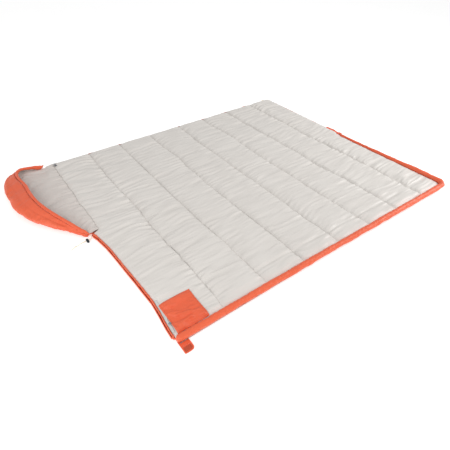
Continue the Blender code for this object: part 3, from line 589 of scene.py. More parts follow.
class Bench:
    """Modelling by hand with Blender's operators."""

    @staticmethod
    def start() -> None:
        """Deselects everything."""
        if bpy.context.object and bpy.context.object.mode != "OBJECT":
            bpy.ops.object.mode_set(mode="OBJECT")
        bpy.ops.object.select_all(action="DESELECT")

    @staticmethod
    def cylinder(radius: float, depth: float, sides: int, at: Point, turn: Point = (0, 0, 0)) -> bpy.types.Object:
        """Adds a cylinder at its size and place."""
        Bench.start()
        bpy.ops.mesh.primitive_cylinder_add(vertices=sides, radius=radius, depth=depth, location=at, rotation=turn)
        return Bench.settle()

    @staticmethod
    def torus(ring: float, wire: float, sides: tuple[int, int], turn: Point) -> bpy.types.Object:
        """Adds a ring at its size and place."""
        Bench.start()
        bpy.ops.mesh.primitive_torus_add(
            major_radius=ring,
            minor_radius=wire,
            major_segments=sides[0],
            minor_segments=sides[1],
            rotation=turn,
        )
        return Bench.settle()

    @staticmethod
    def settle() -> bpy.types.Object:
        """Puts the place of the active object into its mesh."""
        bpy.ops.object.transform_apply(location=True, rotation=True, scale=True)
        return bpy.context.object

    @staticmethod
    def pick(obj: bpy.types.Object, test: Callable[[bpy.types.MeshPolygon], bool]) -> None:
        """Goes into edit mode with the faces that pass a test selected."""
        Bench.start()
        obj.select_set(True)
        bpy.context.view_layer.objects.active = obj
        bpy.ops.object.mode_set(mode="EDIT")
        bpy.ops.mesh.select_mode(type="FACE")
        bpy.ops.mesh.select_all(action="DESELECT")
        bpy.ops.object.mode_set(mode="OBJECT")
        for face in obj.data.polygons:
            face.select = test(face)
        bpy.ops.object.mode_set(mode="EDIT")

    @staticmethod
    def stitch(radius: float, length: float, inset: float) -> bpy.types.Object:
        """One stitch along Y, with soft ends."""
        pattern = Bench.cylinder(radius, length, 6, (0, 0, 0), UPRIGHT)
        Bench.pick(pattern, lambda face: abs(face.normal.y) > FACING)
        bpy.ops.mesh.inset(thickness=inset)
        bpy.ops.object.mode_set(mode="OBJECT")
        return pattern

    @staticmethod
    def push(inset: float, shift: Point) -> None:
        """Insets the picked faces and extrudes them."""
        bpy.ops.mesh.inset(thickness=inset)
        bpy.ops.mesh.extrude_region_move(TRANSFORM_OT_translate={"value": shift})

    @staticmethod
    def bevel(obj: bpy.types.Object, width: float, segments: int) -> None:
        """Rounds an object's edges with an applied modifier."""
        Bench.start()
        obj.select_set(True)
        bpy.context.view_layer.objects.active = obj
        made = obj.modifiers.new("round", "BEVEL")
        made.width, made.segments = width, segments
        made.limit_method, made.angle_limit = "ANGLE", math.radians(30)
        bpy.ops.object.modifier_apply(modifier=made.name)
        bpy.ops.object.shade_smooth_by_angle(angle=math.radians(35))

    @staticmethod
    def finish(obj: bpy.types.Object, name: str, look: Look) -> bpy.types.Object:
        """Names and dresses a finished piece."""
        Bench.start()
        obj.name = obj.data.name = name
        obj.data.materials.clear()
        obj.data.materials.append(look.material)
        return obj

    @staticmethod
    def copies(pattern: bpy.types.Object, places: Iterable[Matrix], name: str, look: Look) -> bpy.types.Object:
        """Copies a modelled shape to many places in one piece, and clears the first away."""
        base = np.array([v.co for v in pattern.data.vertices])
        shape = [tuple(f.vertices) for f in pattern.data.polygons]
        points, faces = [], []
        for index, place in enumerate(places):
            turn = np.array(place)
            points.append(base @ turn[:3, :3].T + turn[:3, 3])
            faces += [tuple(k + index * len(base) for k in f) for f in shape]
        bpy.data.objects.remove(pattern, do_unlink=True)
        return Surface(np.concatenate(points), faces).piece(name, look)


def settle_cloth(obj: bpy.types.Object, pins: np.ndarray, pressure: float, cap: float, frames: int = 10) -> None:
    """Lets a closed piece swell against its seams by a short cloth run.

    Args:
        obj: the piece.
        pins: how firmly each point is held, 0 to 1.
        pressure: the air pressure inside.
        cap: the furthest that a point may move.
        frames: how long it runs.
    """
    before = np.array([v.co for v in obj.data.vertices])
    group = obj.vertex_groups.new(name="seams")
    for level in range(1, 11):
        chosen = np.nonzero(np.round(pins * 10) == level)[0]
        if len(chosen):
            group.add(chosen.tolist(), level / 10, "REPLACE")
    cloth = obj.modifiers.new("cloth", "CLOTH")
    cloth.settings.vertex_group_mass = "seams"
    cloth.settings.use_pressure = True
    cloth.settings.uniform_pressure_force = pressure
    cloth.settings.effector_weights.gravity = 0.0
    cloth.settings.shrink_min = -0.04
    cloth.settings.quality = 4
    cloth.settings.tension_stiffness = cloth.settings.compression_stiffness = 10
    cloth.settings.bending_stiffness = 0.05
    cloth.point_cache.frame_start, cloth.point_cache.frame_end = 1, frames
    scene = bpy.context.scene
    for step in range(1, frames + 1):
        scene.frame_set(step)
    seen = obj.evaluated_get(bpy.context.evaluated_depsgraph_get()).data
    after = np.array([v.co for v in seen.vertices])
    move = after - before
    far = np.linalg.norm(move, axis=1, keepdims=True)
    move *= np.minimum(1.0, cap / np.maximum(far, 1e-9))
    move *= (1.0 - pins)[:, None]
    obj.modifiers.clear()
    obj.vertex_groups.clear()
    scene.frame_set(1)
    obj.data.vertices.foreach_set("co", (before + move).ravel())
    obj.data.update()
    LOG.info("%s swelled by up to %.1f mm", obj.name, 1000 * float(far.max()))


# ---------------------------------------------------------------- the quilted panels


@dataclass
class Quilt:
    """Both panels of the quilt, with one lining and one shell across the fold."""

    seams: tuple[float, ...] = (-0.68, -0.455, -0.225, 0.01, 0.235, 0.46, 0.69)
    seam_z: float = 0.0205
    crest: float = 0.0280
    highest: float = 0.0343
    edge_z: float = 0.0137
    binding_z: float = 0.0200
    under_z: float = 0.0095
    under_inset: float = 0.004
    corner: float = 0.030
    bay_columns: int = 20
    shell_columns: int = 10
    row_step: float = 0.0039
    shell_step: float = 0.0075
    lining_inset: float = 0.0022
    shell_inset: float = 0.014
    edge_band: float = 0.04
    edge_rows: int = 10
    stitch_pitch: float = 0.0050
    fold_start: Point = (0.0, -0.378, 0.0)
    fold_end: Point = (0.0, -0.422, 0.0)
    gathers: Folds = Folds(11, 0.034, 0.17)
    puckers: Folds = Folds(21, 0.015, 0.07)
    sweeps: Folds = Folds(31, 0.11, 0.34)
    near_pulls: Folds = Folds(41, 0.024, 0.2, 0.0022)
    foot_pulls: Folds = Folds(51, 0.045, 0.2, 0.0036)
    scallops: Folds = Folds(65, 0.10, 1.0)
    tufts: Folds = Folds(91, 0.021, 0.12)
    neck_wave: Wave = Wave(66, 0.11, 0.0035)
    long_fold: Wave = Wave(61, 0.2, 0.004)
    long_fold_y: float = -1.088
    long_fold_depth: float = 0.0060
    long_fold_width: float = 0.008
    patch_x: Span = (0.735, 0.76)
    patch_y: Span = (0.985, 1.01)
    patch_calm: Span = (0.85, 0.7)
    foot_band: Span = (0.55, 0.80)
    head_band: Span = (0.45, 0.65)
    more_folds: Span = (0.6, 0.35)
    bay_shifts: Point = (5.3, 7.3, 3.1)
    drift: float = 0.8
    slant: float = 0.3
    puff_reach: float = 0.062
    puff_power: float = 2.3
    seam_reach: float = 0.055
    gather_reach: float = 0.012
    broad_height: Span = (0.0020, 0.0024)
    narrow_height: Span = (0.0007, 0.0013)
    sweep_height: Span = (0.0020, 0.0016)
    dip_depth: float = 0.0020
    dip_width: float = 0.005
    hump_height: float = 0.0035
    tuft_height: float = 0.0030
    tuft_width: float = 0.011
    tuft_folds: float = 0.0011
    tuft_reach: float = 0.035
    turn_up: tuple[Span, ...] = (
        (0.009, 0.0014), (0.0132, 0.0052), (0.0140, 0.0095), (0.0128, 0.0136), (0.0112, 0.0146),
    )
    bow: tuple[Span, ...] = (
        (-1.173, -0.006), (-1.11, -0.004), (-1.04, 0.003), (-0.966, 0.008), (-0.90, 0.005),
        (-0.80, 0.001), (-0.69, -0.005), (-0.60, -0.009), (-0.53, -0.014), (-0.44, -0.027), (-0.40, -0.038),
    )
    askew: tuple[Span, ...] = (
        (-0.92, 0.009), (-0.5, 0.007), (0.0, 0.001), (0.5, -0.008), (0.9, -0.013),
    )
    head: float = field(init=False)
    foot: float = field(init=False)
    far: float = field(init=False)
    fold: float = field(init=False)
    near: float = field(init=False)
    front_head: float = field(init=False)
    front_foot: float = field(init=False)

    def __post_init__(self) -> None:
        """Reads the panels' places from the frame."""
        low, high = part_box("back_shell")
        self.head, self.foot, self.far = low.x, high.x, high.y
        front_low, front_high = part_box("front_shell")
        self.near, self.front_head, self.front_foot = front_low.y, front_low.x, front_high.x
        self.fold = (low.y + front_high.y) / 2

    def head_at(self, y: Any) -> np.ndarray:
        """The head edge, which bows in along the front panel."""
        y = np.asarray(y, float)
        at, shift = zip(*self.bow)
        front = self.front_head + np.interp(y, at, shift)
        share = rise(self.fold - y, -0.014, 0.006)
        back = self.head + self.neck_wave(y) * rise(y, self.fold + 0.02, self.fold + 0.06)
        return back + (front - back) * share

    def foot_at(self, y: Any, inset: float = 0.0) -> np.ndarray:
        """The foot edge, rounded into both sides."""
        y = np.asarray(y, float)
        base = self.front_foot + (self.foot - self.front_foot) * rise(y, self.fold - 0.005, self.fold + 0.06)
        scallop = 0.5 + 0.5 * self.scallops(y, 0.0)
        base = base - 0.007 * scallop * rise(y, self.fold + 0.02, self.fold + 0.10) * rise(-y, -0.36, -0.30)
        radius = self.corner - inset
        gap = np.minimum(self.far - inset - y, y - self.near - inset)
        short = np.clip(radius - gap, 0.0, radius)
        return base - inset - radius + np.sqrt(np.maximum(radius * radius - short * short, 0.0))

    def seam_x(self, index: int, y: Any) -> np.ndarray:
        """Where a quilting seam runs, a little wavy."""
        y = np.asarray(y, float)
        slow, quick = Wave(70 + index, 0.30, 0.008), Wave(80 + index, 0.06, 0.0026)
        return self.seams[index] + slow(y) + quick(y)

    def seam_gap(self, x: np.ndarray, y: np.ndarray) -> tuple[np.ndarray, np.ndarray]:
        """How far the nearest seam is, and how many seams lie nearer the head."""
        offsets = np.stack([x - self.seam_x(k, y) for k in range(len(self.seams))])
        return np.abs(offsets).min(axis=0), (offsets > 0).sum(axis=0)

    def lining_top(self, x: Any, y: Any) -> np.ndarray:
        """The height of the lining over the ground."""
        x, y = np.broadcast_arrays(np.asarray(x, float), np.asarray(y, float))
        seam, bay = self.seam_gap(x, y)
        near_gap, foot_gap = y - self.near, self.foot_at(y) - x
        shift, broad_shift, narrow_shift = self.bay_shifts
        drift = self.drift * ripple(12, x / 0.13, y / 0.25) + shift * bay
        broad = self.gathers(y, x, (drift, broad_shift * bay))
        narrow = self.puckers(y, x, (drift, narrow_shift * bay))
        sweep = self.sweeps(y + self.slant * x, x - self.slant * y)
        patch = rise(-x, *self.patch_x) * rise(-y, *self.patch_y)
        near_seam = fade(seam, self.seam_reach)
        calm_gathers, calm_sweeps = self.patch_calm
        at_foot, at_head = self.more_folds
        gather = crown(seam, self.gather_reach, 2.0) * (1 - calm_gathers * patch)
        ends = 1 + at_foot * rise(x, *self.foot_band) + at_head * rise(-x, *self.head_band)
        broad_height, narrow_height = (
            base + more * near_seam for base, more in (self.broad_height, self.narrow_height)
        )
        z = self.seam_z + (self.crest - self.seam_z) * crown(seam, self.puff_reach, self.puff_power)
        z = z + gather * ends * (broad * broad_height + narrow * narrow_height)
        z = z - self.dip_depth * bell(seam, self.dip_width)
        hump = ripple(68, y / 0.12, 2.0 * bay) * fade(seam, 0.03) * crown(seam, 0.006)
        z = z + self.hump_height * hump
        base, more = self.sweep_height
        swept = base + more * rise(-x, 0.40, 0.60)
        z = z + crown(seam, 0.05) * swept * sweep * (1 - calm_sweeps * patch)
        z = z + crown(near_gap, 0.01) * fade(near_gap, 0.03) * self.near_pulls(x, y) * (1 - patch)
        z = z + crown(foot_gap, 0.01) * fade(foot_gap, 0.07) * self.foot_pulls(y, x)
        window = rise(x, -0.50, -0.42) * rise(-x, -0.64, -0.56)
        line = self.long_fold_y + self.long_fold(x)
        z = z - self.long_fold_depth * window * bell(y - line, self.long_fold_width)
        head_gap = x - self.head_at(y)
        head_z = self.binding_z + 0.0025 * rise(y, self.fold, self.fold + 0.02)
        for gap, level, reach in (
            (self.far - y, self.edge_z, 0.035),
            (near_gap, self.edge_z, 0.035),
            (foot_gap, self.edge_z, 0.055),
            (head_gap, head_z, 0.030),
        ):
            z = level + (z - level) * crown(gap, reach)
        return np.minimum(z, self.highest)

    def relax(self, points: np.ndarray) -> np.ndarray:
        """Lets the front panel's free side lie a little askew, as laid out by hand.

        Args:
            points: places on the front panel or its trim.

        Returns:
            The shifted places.
        """
        moved = np.array(points, float)
        at, shift = zip(*self.askew)
        share = rise(-moved[..., 1], 0.50, 1.17)
        moved[..., 1] += np.interp(moved[..., 0], at, shift) * share
        moved[..., 0] += 0.005 * share * rise(moved[..., 0], 0.75, 0.90)
        return moved

    def rows(self, inset: float, step: float) -> np.ndarray:
        """Places across the quilt, closer together at both edges."""
        edge = self.edge_band * (np.arange(self.edge_rows + 1) / self.edge_rows) ** 1.7
        low, high = self.near + inset, self.far - inset
        count = int((high - low - 2 * self.edge_band) / step)
        middle = np.linspace(low + self.edge_band, high - self.edge_band, count + 1)[1:-1]
        return np.concatenate([low + edge, middle, (high - edge)[::-1]])

    def columns(self, y: np.ndarray, inset: float, count: int) -> np.ndarray:
        """Places along the quilt for each row, closer together at the seams."""
        bounds = [self.head_at(y) + inset * 0.1]
        bounds += [self.seam_x(k, y) for k in range(len(self.seams))]
        bounds.append(self.foot_at(y, inset))
        share = 0.5 - 0.5 * np.cos(np.pi * np.arange(count + 1) / count)
        share = 0.6 * share + 0.4 * np.arange(count + 1) / count
        parts = [low[:, None] + (high - low)[:, None] * share[None, : count] for low, high in zip(bounds, bounds[1:])]
        return np.concatenate([*parts, bounds[-1][:, None]], 1)

    def build_lining(self) -> bpy.types.Object:
        """The puffed, gathered lining with the batting's volume under it.

        Returns:
            The padded piece.
        """
        y = self.rows(self.lining_inset, self.row_step)
        x = self.columns(y, self.lining_inset, self.bay_columns)
        wide = np.broadcast_to(y[:, None], x.shape)
        top = np.stack([x, wide, self.lining_top(x, wide)], -1)
        count = x.shape[1]
        under = np.stack([top[:, 0], top[:, -1]], 1)
        under[..., 2] = self.under_z
        under[:, :, 0] += (self.under_inset, -self.under_inset)
        start = top.shape[0] * count
        faces = list(quads(len(y), count))
        for j in range(len(y) - 1):
            a, b = start + 2 * j, start + 2 * j + 2
            faces.append(((j + 1) * count, b, a, j * count))
            faces.append((b, b + 1, a + 1, a))
            faces.append((b + 1, (j + 2) * count - 1, (j + 1) * count - 1, a + 1))
        last, end = (len(y) - 1) * count, start + 2 * len(y)
        faces.append([start, start + 1, *range(count)[::-1]])
        faces.append([end - 1, end - 2, *range(last, last + count)])
        points = self.relax(np.concatenate([top.reshape(-1, 3), under.reshape(-1, 3)]))
        piece = Surface(points, faces).piece("quilt_lining", Look.LINING)
        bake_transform(piece)
        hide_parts("back_lining", "front_lining", "back_insulation", "front_insulation")
        return piece

    def build_shell(self) -> bpy.types.Object:
        """The outer shell under the quilt, tufted at the seams and turned up round the edge.

        Returns:
            The sheet.
        """
        y = self.rows(self.shell_inset, self.shell_step)
        x = self.columns(y, self.shell_inset, self.shell_columns)
        wide = np.broadcast_to(y[:, None], x.shape)
        seam, _ = self.seam_gap(x, wide)
        near_seam = fade(seam, self.tuft_reach)
        gather = near_seam * np.maximum(self.tufts(wide, x), -0.4)
        z = self.tuft_height * bell(seam, self.tuft_width) + self.tuft_folds * (gather + 0.4 * near_seam) + 0.0002
        grid = np.stack([x, wide, z], -1).reshape(-1, 3)
        loop = rim(*x.shape)
        edge = grid[loop]
        ahead = np.roll(edge, -1, 0)[:, :2] - np.roll(edge, 1, 0)[:, :2]
        out = unit(np.stack([ahead[:, 1], -ahead[:, 0]], 1))
        pucker = ripple(95, edge[:, 0] / 0.016, edge[:, 1] / 0.016)
        sliver = rise(ripple(97, edge[:, 0] / 0.13, 0.0), -0.05, 0.35) * (edge[:, 1] > self.far - 0.03)
        points, faces, below = [grid], [*quads(*x.shape)[:, ::-1]], loop
        for shift, level in self.turn_up:
            lifted = level + 0.0005 * pucker + 0.0042 * sliver * (level > 0.012)
            ring = np.concatenate([edge[:, :2] + out * (shift + 0.0004 * pucker[:, None]), lifted[:, None]], 1)
            first = sum(len(p) for p in points)
            points.append(ring)
            above = list(range(first, first + len(loop)))
            corners = zip(below, above, above[1:] + above[:1], below[1:] + below[:1])
            faces += [face[::-1] for face in corners]
            below = above
        piece = Surface(self.relax(np.concatenate(points)), faces).piece("quilt_shell", Look.SHELL)
        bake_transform(piece)
        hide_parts("back_shell", "front_shell")
        return piece

    def build_stitches(self) -> bpy.types.Object:
        """Every stitch of the seven quilting seams.

        Returns:
            The piece.
        """
        pattern = Bench.stitch(0.00042, 0.0036, 0.00018)
        places = []
        for index in range(len(self.seams)):
            along = np.arange(self.near + 0.012, self.far - 0.010, self.stitch_pitch)
            x = self.seam_x(index, along)
            places += places_along(self.relax(np.stack([x, along, self.lining_top(x, along) + 0.0002], 1)))
        piece = Bench.copies(pattern, places, "quilt_stitches", Look.THREAD)
        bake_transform(piece)
        return piece


@dataclass
class DraftTube:
    """The soft orange roll along the front panel's side and foot."""

    quilt: Quilt
    radius: float = 0.0147
    thin: float = 0.0085
    lift: float = 0.009
    sides: int = 28
    step: float = 0.0034
    seam_turn: float = 2.75
    gather_turn: float = 2.5
    gather_height: float = 0.0011
    slack_height: float = 0.0005
    seam_depth: float = 0.0009
    bunch_height: float = 0.0012
    pinch: float = 0.16
    gathers: Folds = Folds(210, 0.019, 1.0)
    slack: Folds = Folds(220, 0.055, 1.0)
    bunches: Folds = Folds(230, 0.012, 1.0)
    swell: Wave = Wave(201, 0.11, 0.035)

    def route(self) -> np.ndarray:
        """The middle line, seen from above."""
        low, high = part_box("draft_tube_cover")
        cad = (high.z - low.z) / 2
        side_y, foot_x = low.y + cad, high.x - cad
        centre = (self.quilt.front_foot - self.quilt.corner, self.quilt.near + self.quilt.corner)
        turn = centre[1] - side_y
        straight = [(x, side_y) for x in np.arange(low.x + 0.002, centre[0], self.step)]
        arc = [
            (centre[0] + turn * math.sin(a), centre[1] - turn * math.cos(a)) for a in np.linspace(0, math.pi / 2, 18)
        ]
        side = [(foot_x, y) for y in np.arange(centre[1] + self.step, high.y, self.step)]
        return np.array([(x, y, 0.0) for x, y in straight + arc + side])

    def build(self) -> bpy.types.Object:
        """The roll, gathered along its seam and pinched at the corner.

        Returns:
            The padded piece.
        """
        path = self.route()
        length = run_of(path)
        reach = path[:, 0] - path[:, 1]
        corner = length[np.argmax(reach > reach.max() - 1e-6)]
        full = self.radius + (self.thin - self.radius) * rise(length, corner + 0.05, length[-1] - 0.08)
        full = full * (1 + self.swell(length)) * (1 - self.pinch * bell(length - corner, 0.012))
        ends = np.minimum(length, length[-1] - length)
        full = full * np.sqrt(1 - (1 - np.clip(ends / 0.014, 0.06, 1.0)) ** 2)
        turn = turns(self.sides)
        along = length[:, None]
        inner = bell(turn - self.gather_turn, 0.8)
        folds = self.gathers(along, turn * 0.4)
        slack = self.slack(along, turn * 0.9, (turn * 0.5, 0.0))
        radii = full[:, None] + np.minimum(full[:, None] / self.radius, 1.0) * (
            self.gather_height * inner * folds
            + self.slack_height * slack
            - self.seam_depth * bell(turn - self.seam_turn, 0.16)
        )
        radii = radii + self.bunch_height * bell(along - corner, 0.035) * self.bunches(along, turn * 0.3)
        radii = np.maximum(radii, 0.0006)
        path[:, 2] = self.lift + np.maximum(full, 0.004)
        piece = tube(self.quilt.relax(path), radii).piece("draft_tube", Look.TUBE)
        pins = np.repeat(np.ones(len(path)), self.sides) * np.tile((inner[0] > 0.75).astype(float), len(path))
        settle_cloth(piece, pins, 1.5, 0.0012)
        return attach(piece, "front", "orange_shell", "draft_tube_cover", "draft_tube_fill")


# ---------------------------------------------------------------- the hood


@dataclass
class Hood:
    """The padded hood that lies beyond the neck with its mouth up."""

    quilt: Quilt
    end_reach: float = 0.050
    reach: float = 0.250
    skew: float = 0.080
    mouth_reach: float = 0.160
    mouth_skew: float = 0.035
    mouth_height: float = 0.085
    bulge: float = 2.36
    loft: float = 0.030
    hood_loft: float = 0.018
    mouth_loft: float = 0.010
    easing: float = 0.4
    end_loft: float = 0.4
    neck_gap: float = 0.0006
    near_margin: float = 0.010
    far_margin: float = 0.015
    hem_radius: float = 0.008
    hem_ease: float = 0.0012
    hem_end: float = 0.0036
    cord_radius: float = 0.0015
    knot_length: float = 0.007
    gap: float = 0.0003
    stations: int = 22
    last_row: int = 11
    fine_stations: int = 241
    fine_rows: int = 73
    neck_gathers: Folds = Folds(350, 0.030, 4.0)
    roll_wave: Wave = Wave(301, 2.0, 0.2)
    hem_seam_row: float = 10.1
    hem_seam_depth: float = 0.0022
    dart_station: float = 5.0
    dart_slope: float = 0.10
    dart_depth: float = 0.0036
    roll_row: float = 6.9
    roll_height: float = 0.0065
    groove_row: float = 6.05
    groove_depth: float = 0.0062
    rim_fold_height: float = 0.0014
    loose_fold_height: float = 0.0024
    low_fold_height: float = 0.0034
    low_fold_row: float = 5.5
    mouth_gather_height: float = 0.0066
    neck_gather_height: float = 0.0050
    slack_height: float = 0.0030
    far_sag: Span = (0.062, 0.050)
    near_sag: float = 0.022
    hem_puckers: Folds = Folds(401, 0.012, 1.0, 0.0007)
    hem_folds: Folds = Folds(402, 0.045, 1.0, 0.0004)
    hem_bunch: Folds = Folds(403, 0.016, 1.0)
    near_end: Point = (0.0110, -0.0135, -0.0110)
    far_end: Point = (0.0120, 0.0160, -0.0020)

    def spine(self, station: Any, row: Any) -> np.ndarray:
        """Points of the wall's middle surface."""
        station, row = np.broadcast_arrays(np.asarray(station, float), np.asarray(row, float))
        angle = np.pi * station / self.stations
        t = row / self.last_row
        sine = np.maximum(np.sin(angle), 0.0)
        swell = sine**1.2
        outer = self.end_reach + swell * (self.reach - self.skew * np.cos(angle))
        mouth = self.end_reach + swell * (self.mouth_reach - self.mouth_skew * np.cos(angle))
        base = self.loft / 2
        height = base + (self.mouth_height - base) * sine
        belly = self.bulge * sine**0.6 * (outer - mouth)
        weights = ((1 - t) ** 3, 3 * (1 - t) ** 2 * t, 3 * (1 - t) * t**2, t**3)
        reach = (self.neck_gap, 0.6 * outer, mouth + belly, mouth)
        lift = (base, base, base * 0.8, height)
        q = sum(w * r for w, r in zip(weights, reach))
        z = sum(w * r for w, r in zip(weights, lift))
        low, high = self.quilt.fold + self.near_margin, self.quilt.far - self.far_margin
        return np.stack([self.quilt.head - q, (low + high) / 2 - (high - low) / 2 * np.cos(angle), z], -1)

    def thickness(self, station: np.ndarray, row: np.ndarray) -> np.ndarray:
        """How thick the padding is."""
        share = self.end_loft + (1 - self.end_loft) * np.sin(np.pi * station / self.stations)
        t = row / self.last_row
        first = self.loft + (self.hood_loft * share - self.loft) * t / self.easing
        then = share * (self.hood_loft + (self.mouth_loft - self.hood_loft) * (t - self.easing) / (1 - self.easing))
        return np.where(t < self.easing, first, then)

    def grid(self) -> tuple[np.ndarray, np.ndarray, np.ndarray, np.ndarray, np.ndarray]:
        """The fine grid: stations, rows, middle points, directions inwards and thicknesses."""
        last, end = self.last_row, self.stations
        station, row = np.meshgrid(
            np.linspace(1, end - 1, self.fine_stations), np.linspace(0, last, self.fine_rows), indexing="ij"
        )
        middle = self.spine(station, row)
        step = 0.5
        ahead = self.spine(np.minimum(station + step, end), row) - self.spine(np.maximum(station - step, 0), row)
        along = self.spine(station, np.minimum(row + step, last)) - self.spine(station, np.maximum(row - step, 0))
        inward = unit(np.cross(ahead, along))
        return station, row, middle, inward, self.thickness(station, row)

    def slouch(self, points: np.ndarray) -> np.ndarray:
        """Lets the hood's far side sag outwards and its near side lie closer in."""
        moved = np.array(points, float)
        beyond = self.quilt.head - moved[..., 0]
        y = points[..., 1]
        far = rise(y, 0.10, 0.33) * rise(beyond, 0.060, 0.125)
        near = rise(-y, 0.05, 0.28) * rise(beyond, 0.062, 0.12)
        moved[..., 0] -= self.far_sag[0] * far
        moved[..., 1] += self.far_sag[1] * far + self.near_sag * near
        return moved

    def layer(self, name: str, low: np.ndarray, high: np.ndarray, look: Look) -> bpy.types.Object:
        """A closed padded layer between two skins of points."""
        return loft(self.slouch(np.concatenate([low, high[:, ::-1]], 1))).piece(name, look)

    def build_walls(self) -> list[bpy.types.Object]:
        """The orange outside and the grey inside.

        Returns:
            Both padded pieces.
        """
        grid = self.grid()
        return [self.build_outside(*grid), self.build_inside(*grid)]

    def build_outside(self, *grid: np.ndarray) -> bpy.types.Object:
        """The orange outside, with its rolled fold, groove and seam lines.

        Args:
            grid: what grid returns.

        Returns:
            The padded piece.
        """
        station, row, middle, inward, thick = grid
        rim_share = fade(self.last_row - row, 1.6)
        hem_seam = bell(row - self.hem_seam_row, 0.13)
        dart = bell(station - self.dart_station - self.dart_slope * (row - 6), 0.07) * rise(row, 5.0, 6.5)
        wander = self.roll_wave(station)
        roll = bell(row - self.roll_row - wander, 0.35) * rise(-station, -13.0, -7.0)
        groove = bell(row - self.groove_row - wander, 0.20) * rise(-station, -12.0, -8.0)
        loose = crease(320, station / 1.6 + row / 4.0, row / 2.6)
        low = crease(360, station * 1.3 + row / 3.0, row / 1.6) * bell(row - self.low_fold_row, 1.8)
        out = -thick / 2 + self.hem_seam_depth * hem_seam + self.dart_depth * dart
        out = out - self.roll_height * roll + self.groove_depth * groove
        out = out - self.rim_fold_height * rim_share * crease(310, station * 2.2, row / 5.0)
        out = out - self.loose_fold_height * loose - self.low_fold_height * low
        outer = middle + inward * out[..., None]
        outer[..., 2] = np.maximum(outer[..., 2], 0.0002)
        back = middle + inward * (-0.1 * thick)[..., None]
        back[..., 2] = np.maximum(back[..., 2], 0.0006 + 0.4 * thick * 0.9)
        wall = self.layer("hood_outside", outer, back, Look.SHELL)
        pins = np.zeros(outer.shape[:2])
        pins[:, -8:] = pins[:, :6] = pins[:3] = pins[-3:] = 1.0
        settle_cloth(wall, np.concatenate([pins, np.ones_like(pins)], 1).ravel(), 2.0, 0.003)
        return attach(wall, "hood", "orange_shell", "hood_shell", "hood_insulation")

    def build_inside(self, *grid: np.ndarray) -> bpy.types.Object:
        """The grey inside, gathered at the mouth and at the neck.

        Args:
            grid: what grid returns.

        Returns:
            The padded piece.
        """
        station, row, middle, inward, thick = grid
        y = middle[..., 1]
        neck = 0.76 + 0.24 * crown(row, 1.3)
        near_rim = fade(self.last_row - row, 2.2) * (0.4 + 0.6 * rise(np.abs(station - 11), 3.0, 8.0))
        near_neck = fade(row, 1.6) * crown(row, 0.25)
        lean = self.mouth_gather_height * near_rim * crease(330, station * 1.7, row / 6.0)
        lean = lean + self.neck_gather_height * near_neck * self.neck_gathers(y, row)
        lean = lean + self.slack_height * crease(340, station / 1.1 + row / 5.0, row / 2.2)
        inner = middle + inward * (thick / 2 * (2 * neck - 1) + lean * np.minimum(thick / 0.012, 1.0))[..., None]
        inner[..., 0] += 0.0030 * fade(row, 0.3) + self.quilt.neck_wave(y) * fade(row, 0.8)
        floor = np.where(row < 4, thick * 0.9 * neck, thick * 0.9)
        inner[..., 2] = np.maximum(inner[..., 2], floor)
        front = middle + inward * (0.05 * thick)[..., None]
        front[..., 2] = np.maximum(front[..., 2], 0.5 * thick * 0.9)
        # The darker grey on the hood's inside is painted shade for its hollow.
        lining = self.layer("hood_inside", front, inner, Look.HOOD_LINING)
        return attach(lining, "hood", "grey_lining", "hood_lining")

    def hem_points(self) -> np.ndarray:
        """The middle of the hem channel, station by station."""
        whole = np.arange(self.stations + 1)
        edge = self.spine(whole, self.last_row)
        on = edge - self.spine(whole, self.last_row - 1)
        path = edge + unit(on) * (self.hem_radius + self.hem_ease)
        path[0] = path[1] + self.near_end
        path[-1] = path[-2] + self.far_end
        return path

    def build_hem(self) -> bpy.types.Object:
        """The gathered channel that holds the drawcord.

        Returns:
            The padded piece.
        """
        path = resample(self.hem_points(), 0.0028)
        length = np.linspace(0, line_length(path), len(path))
        ends = np.minimum(length, length[-1] - length)
        full = self.hem_end + (self.hem_radius - self.hem_end) * rise(ends, 0.0, 0.030)
        turn = turns(20)
        along = length[:, None]
        folds = self.hem_puckers(along, turn * 0.5) + self.hem_folds(along, turn * 0.6, (turn, 0.0))
        bunch = bell(length[-1] - along - 0.034, 0.022)
        folds = folds + bunch * (0.0030 + 0.0030 * self.hem_bunch(along, turn * 0.5, (turn * 0.3, 0.0)))
        radii = np.maximum(full[:, None] + folds * full[:, None] / self.hem_radius, 0.0022)
        piece = tube(self.slouch(path), radii).piece("hood_hem_channel", Look.SHELL)
        return attach(piece, "hood", "orange_shell", "hood_hem", "hood_drawcord")


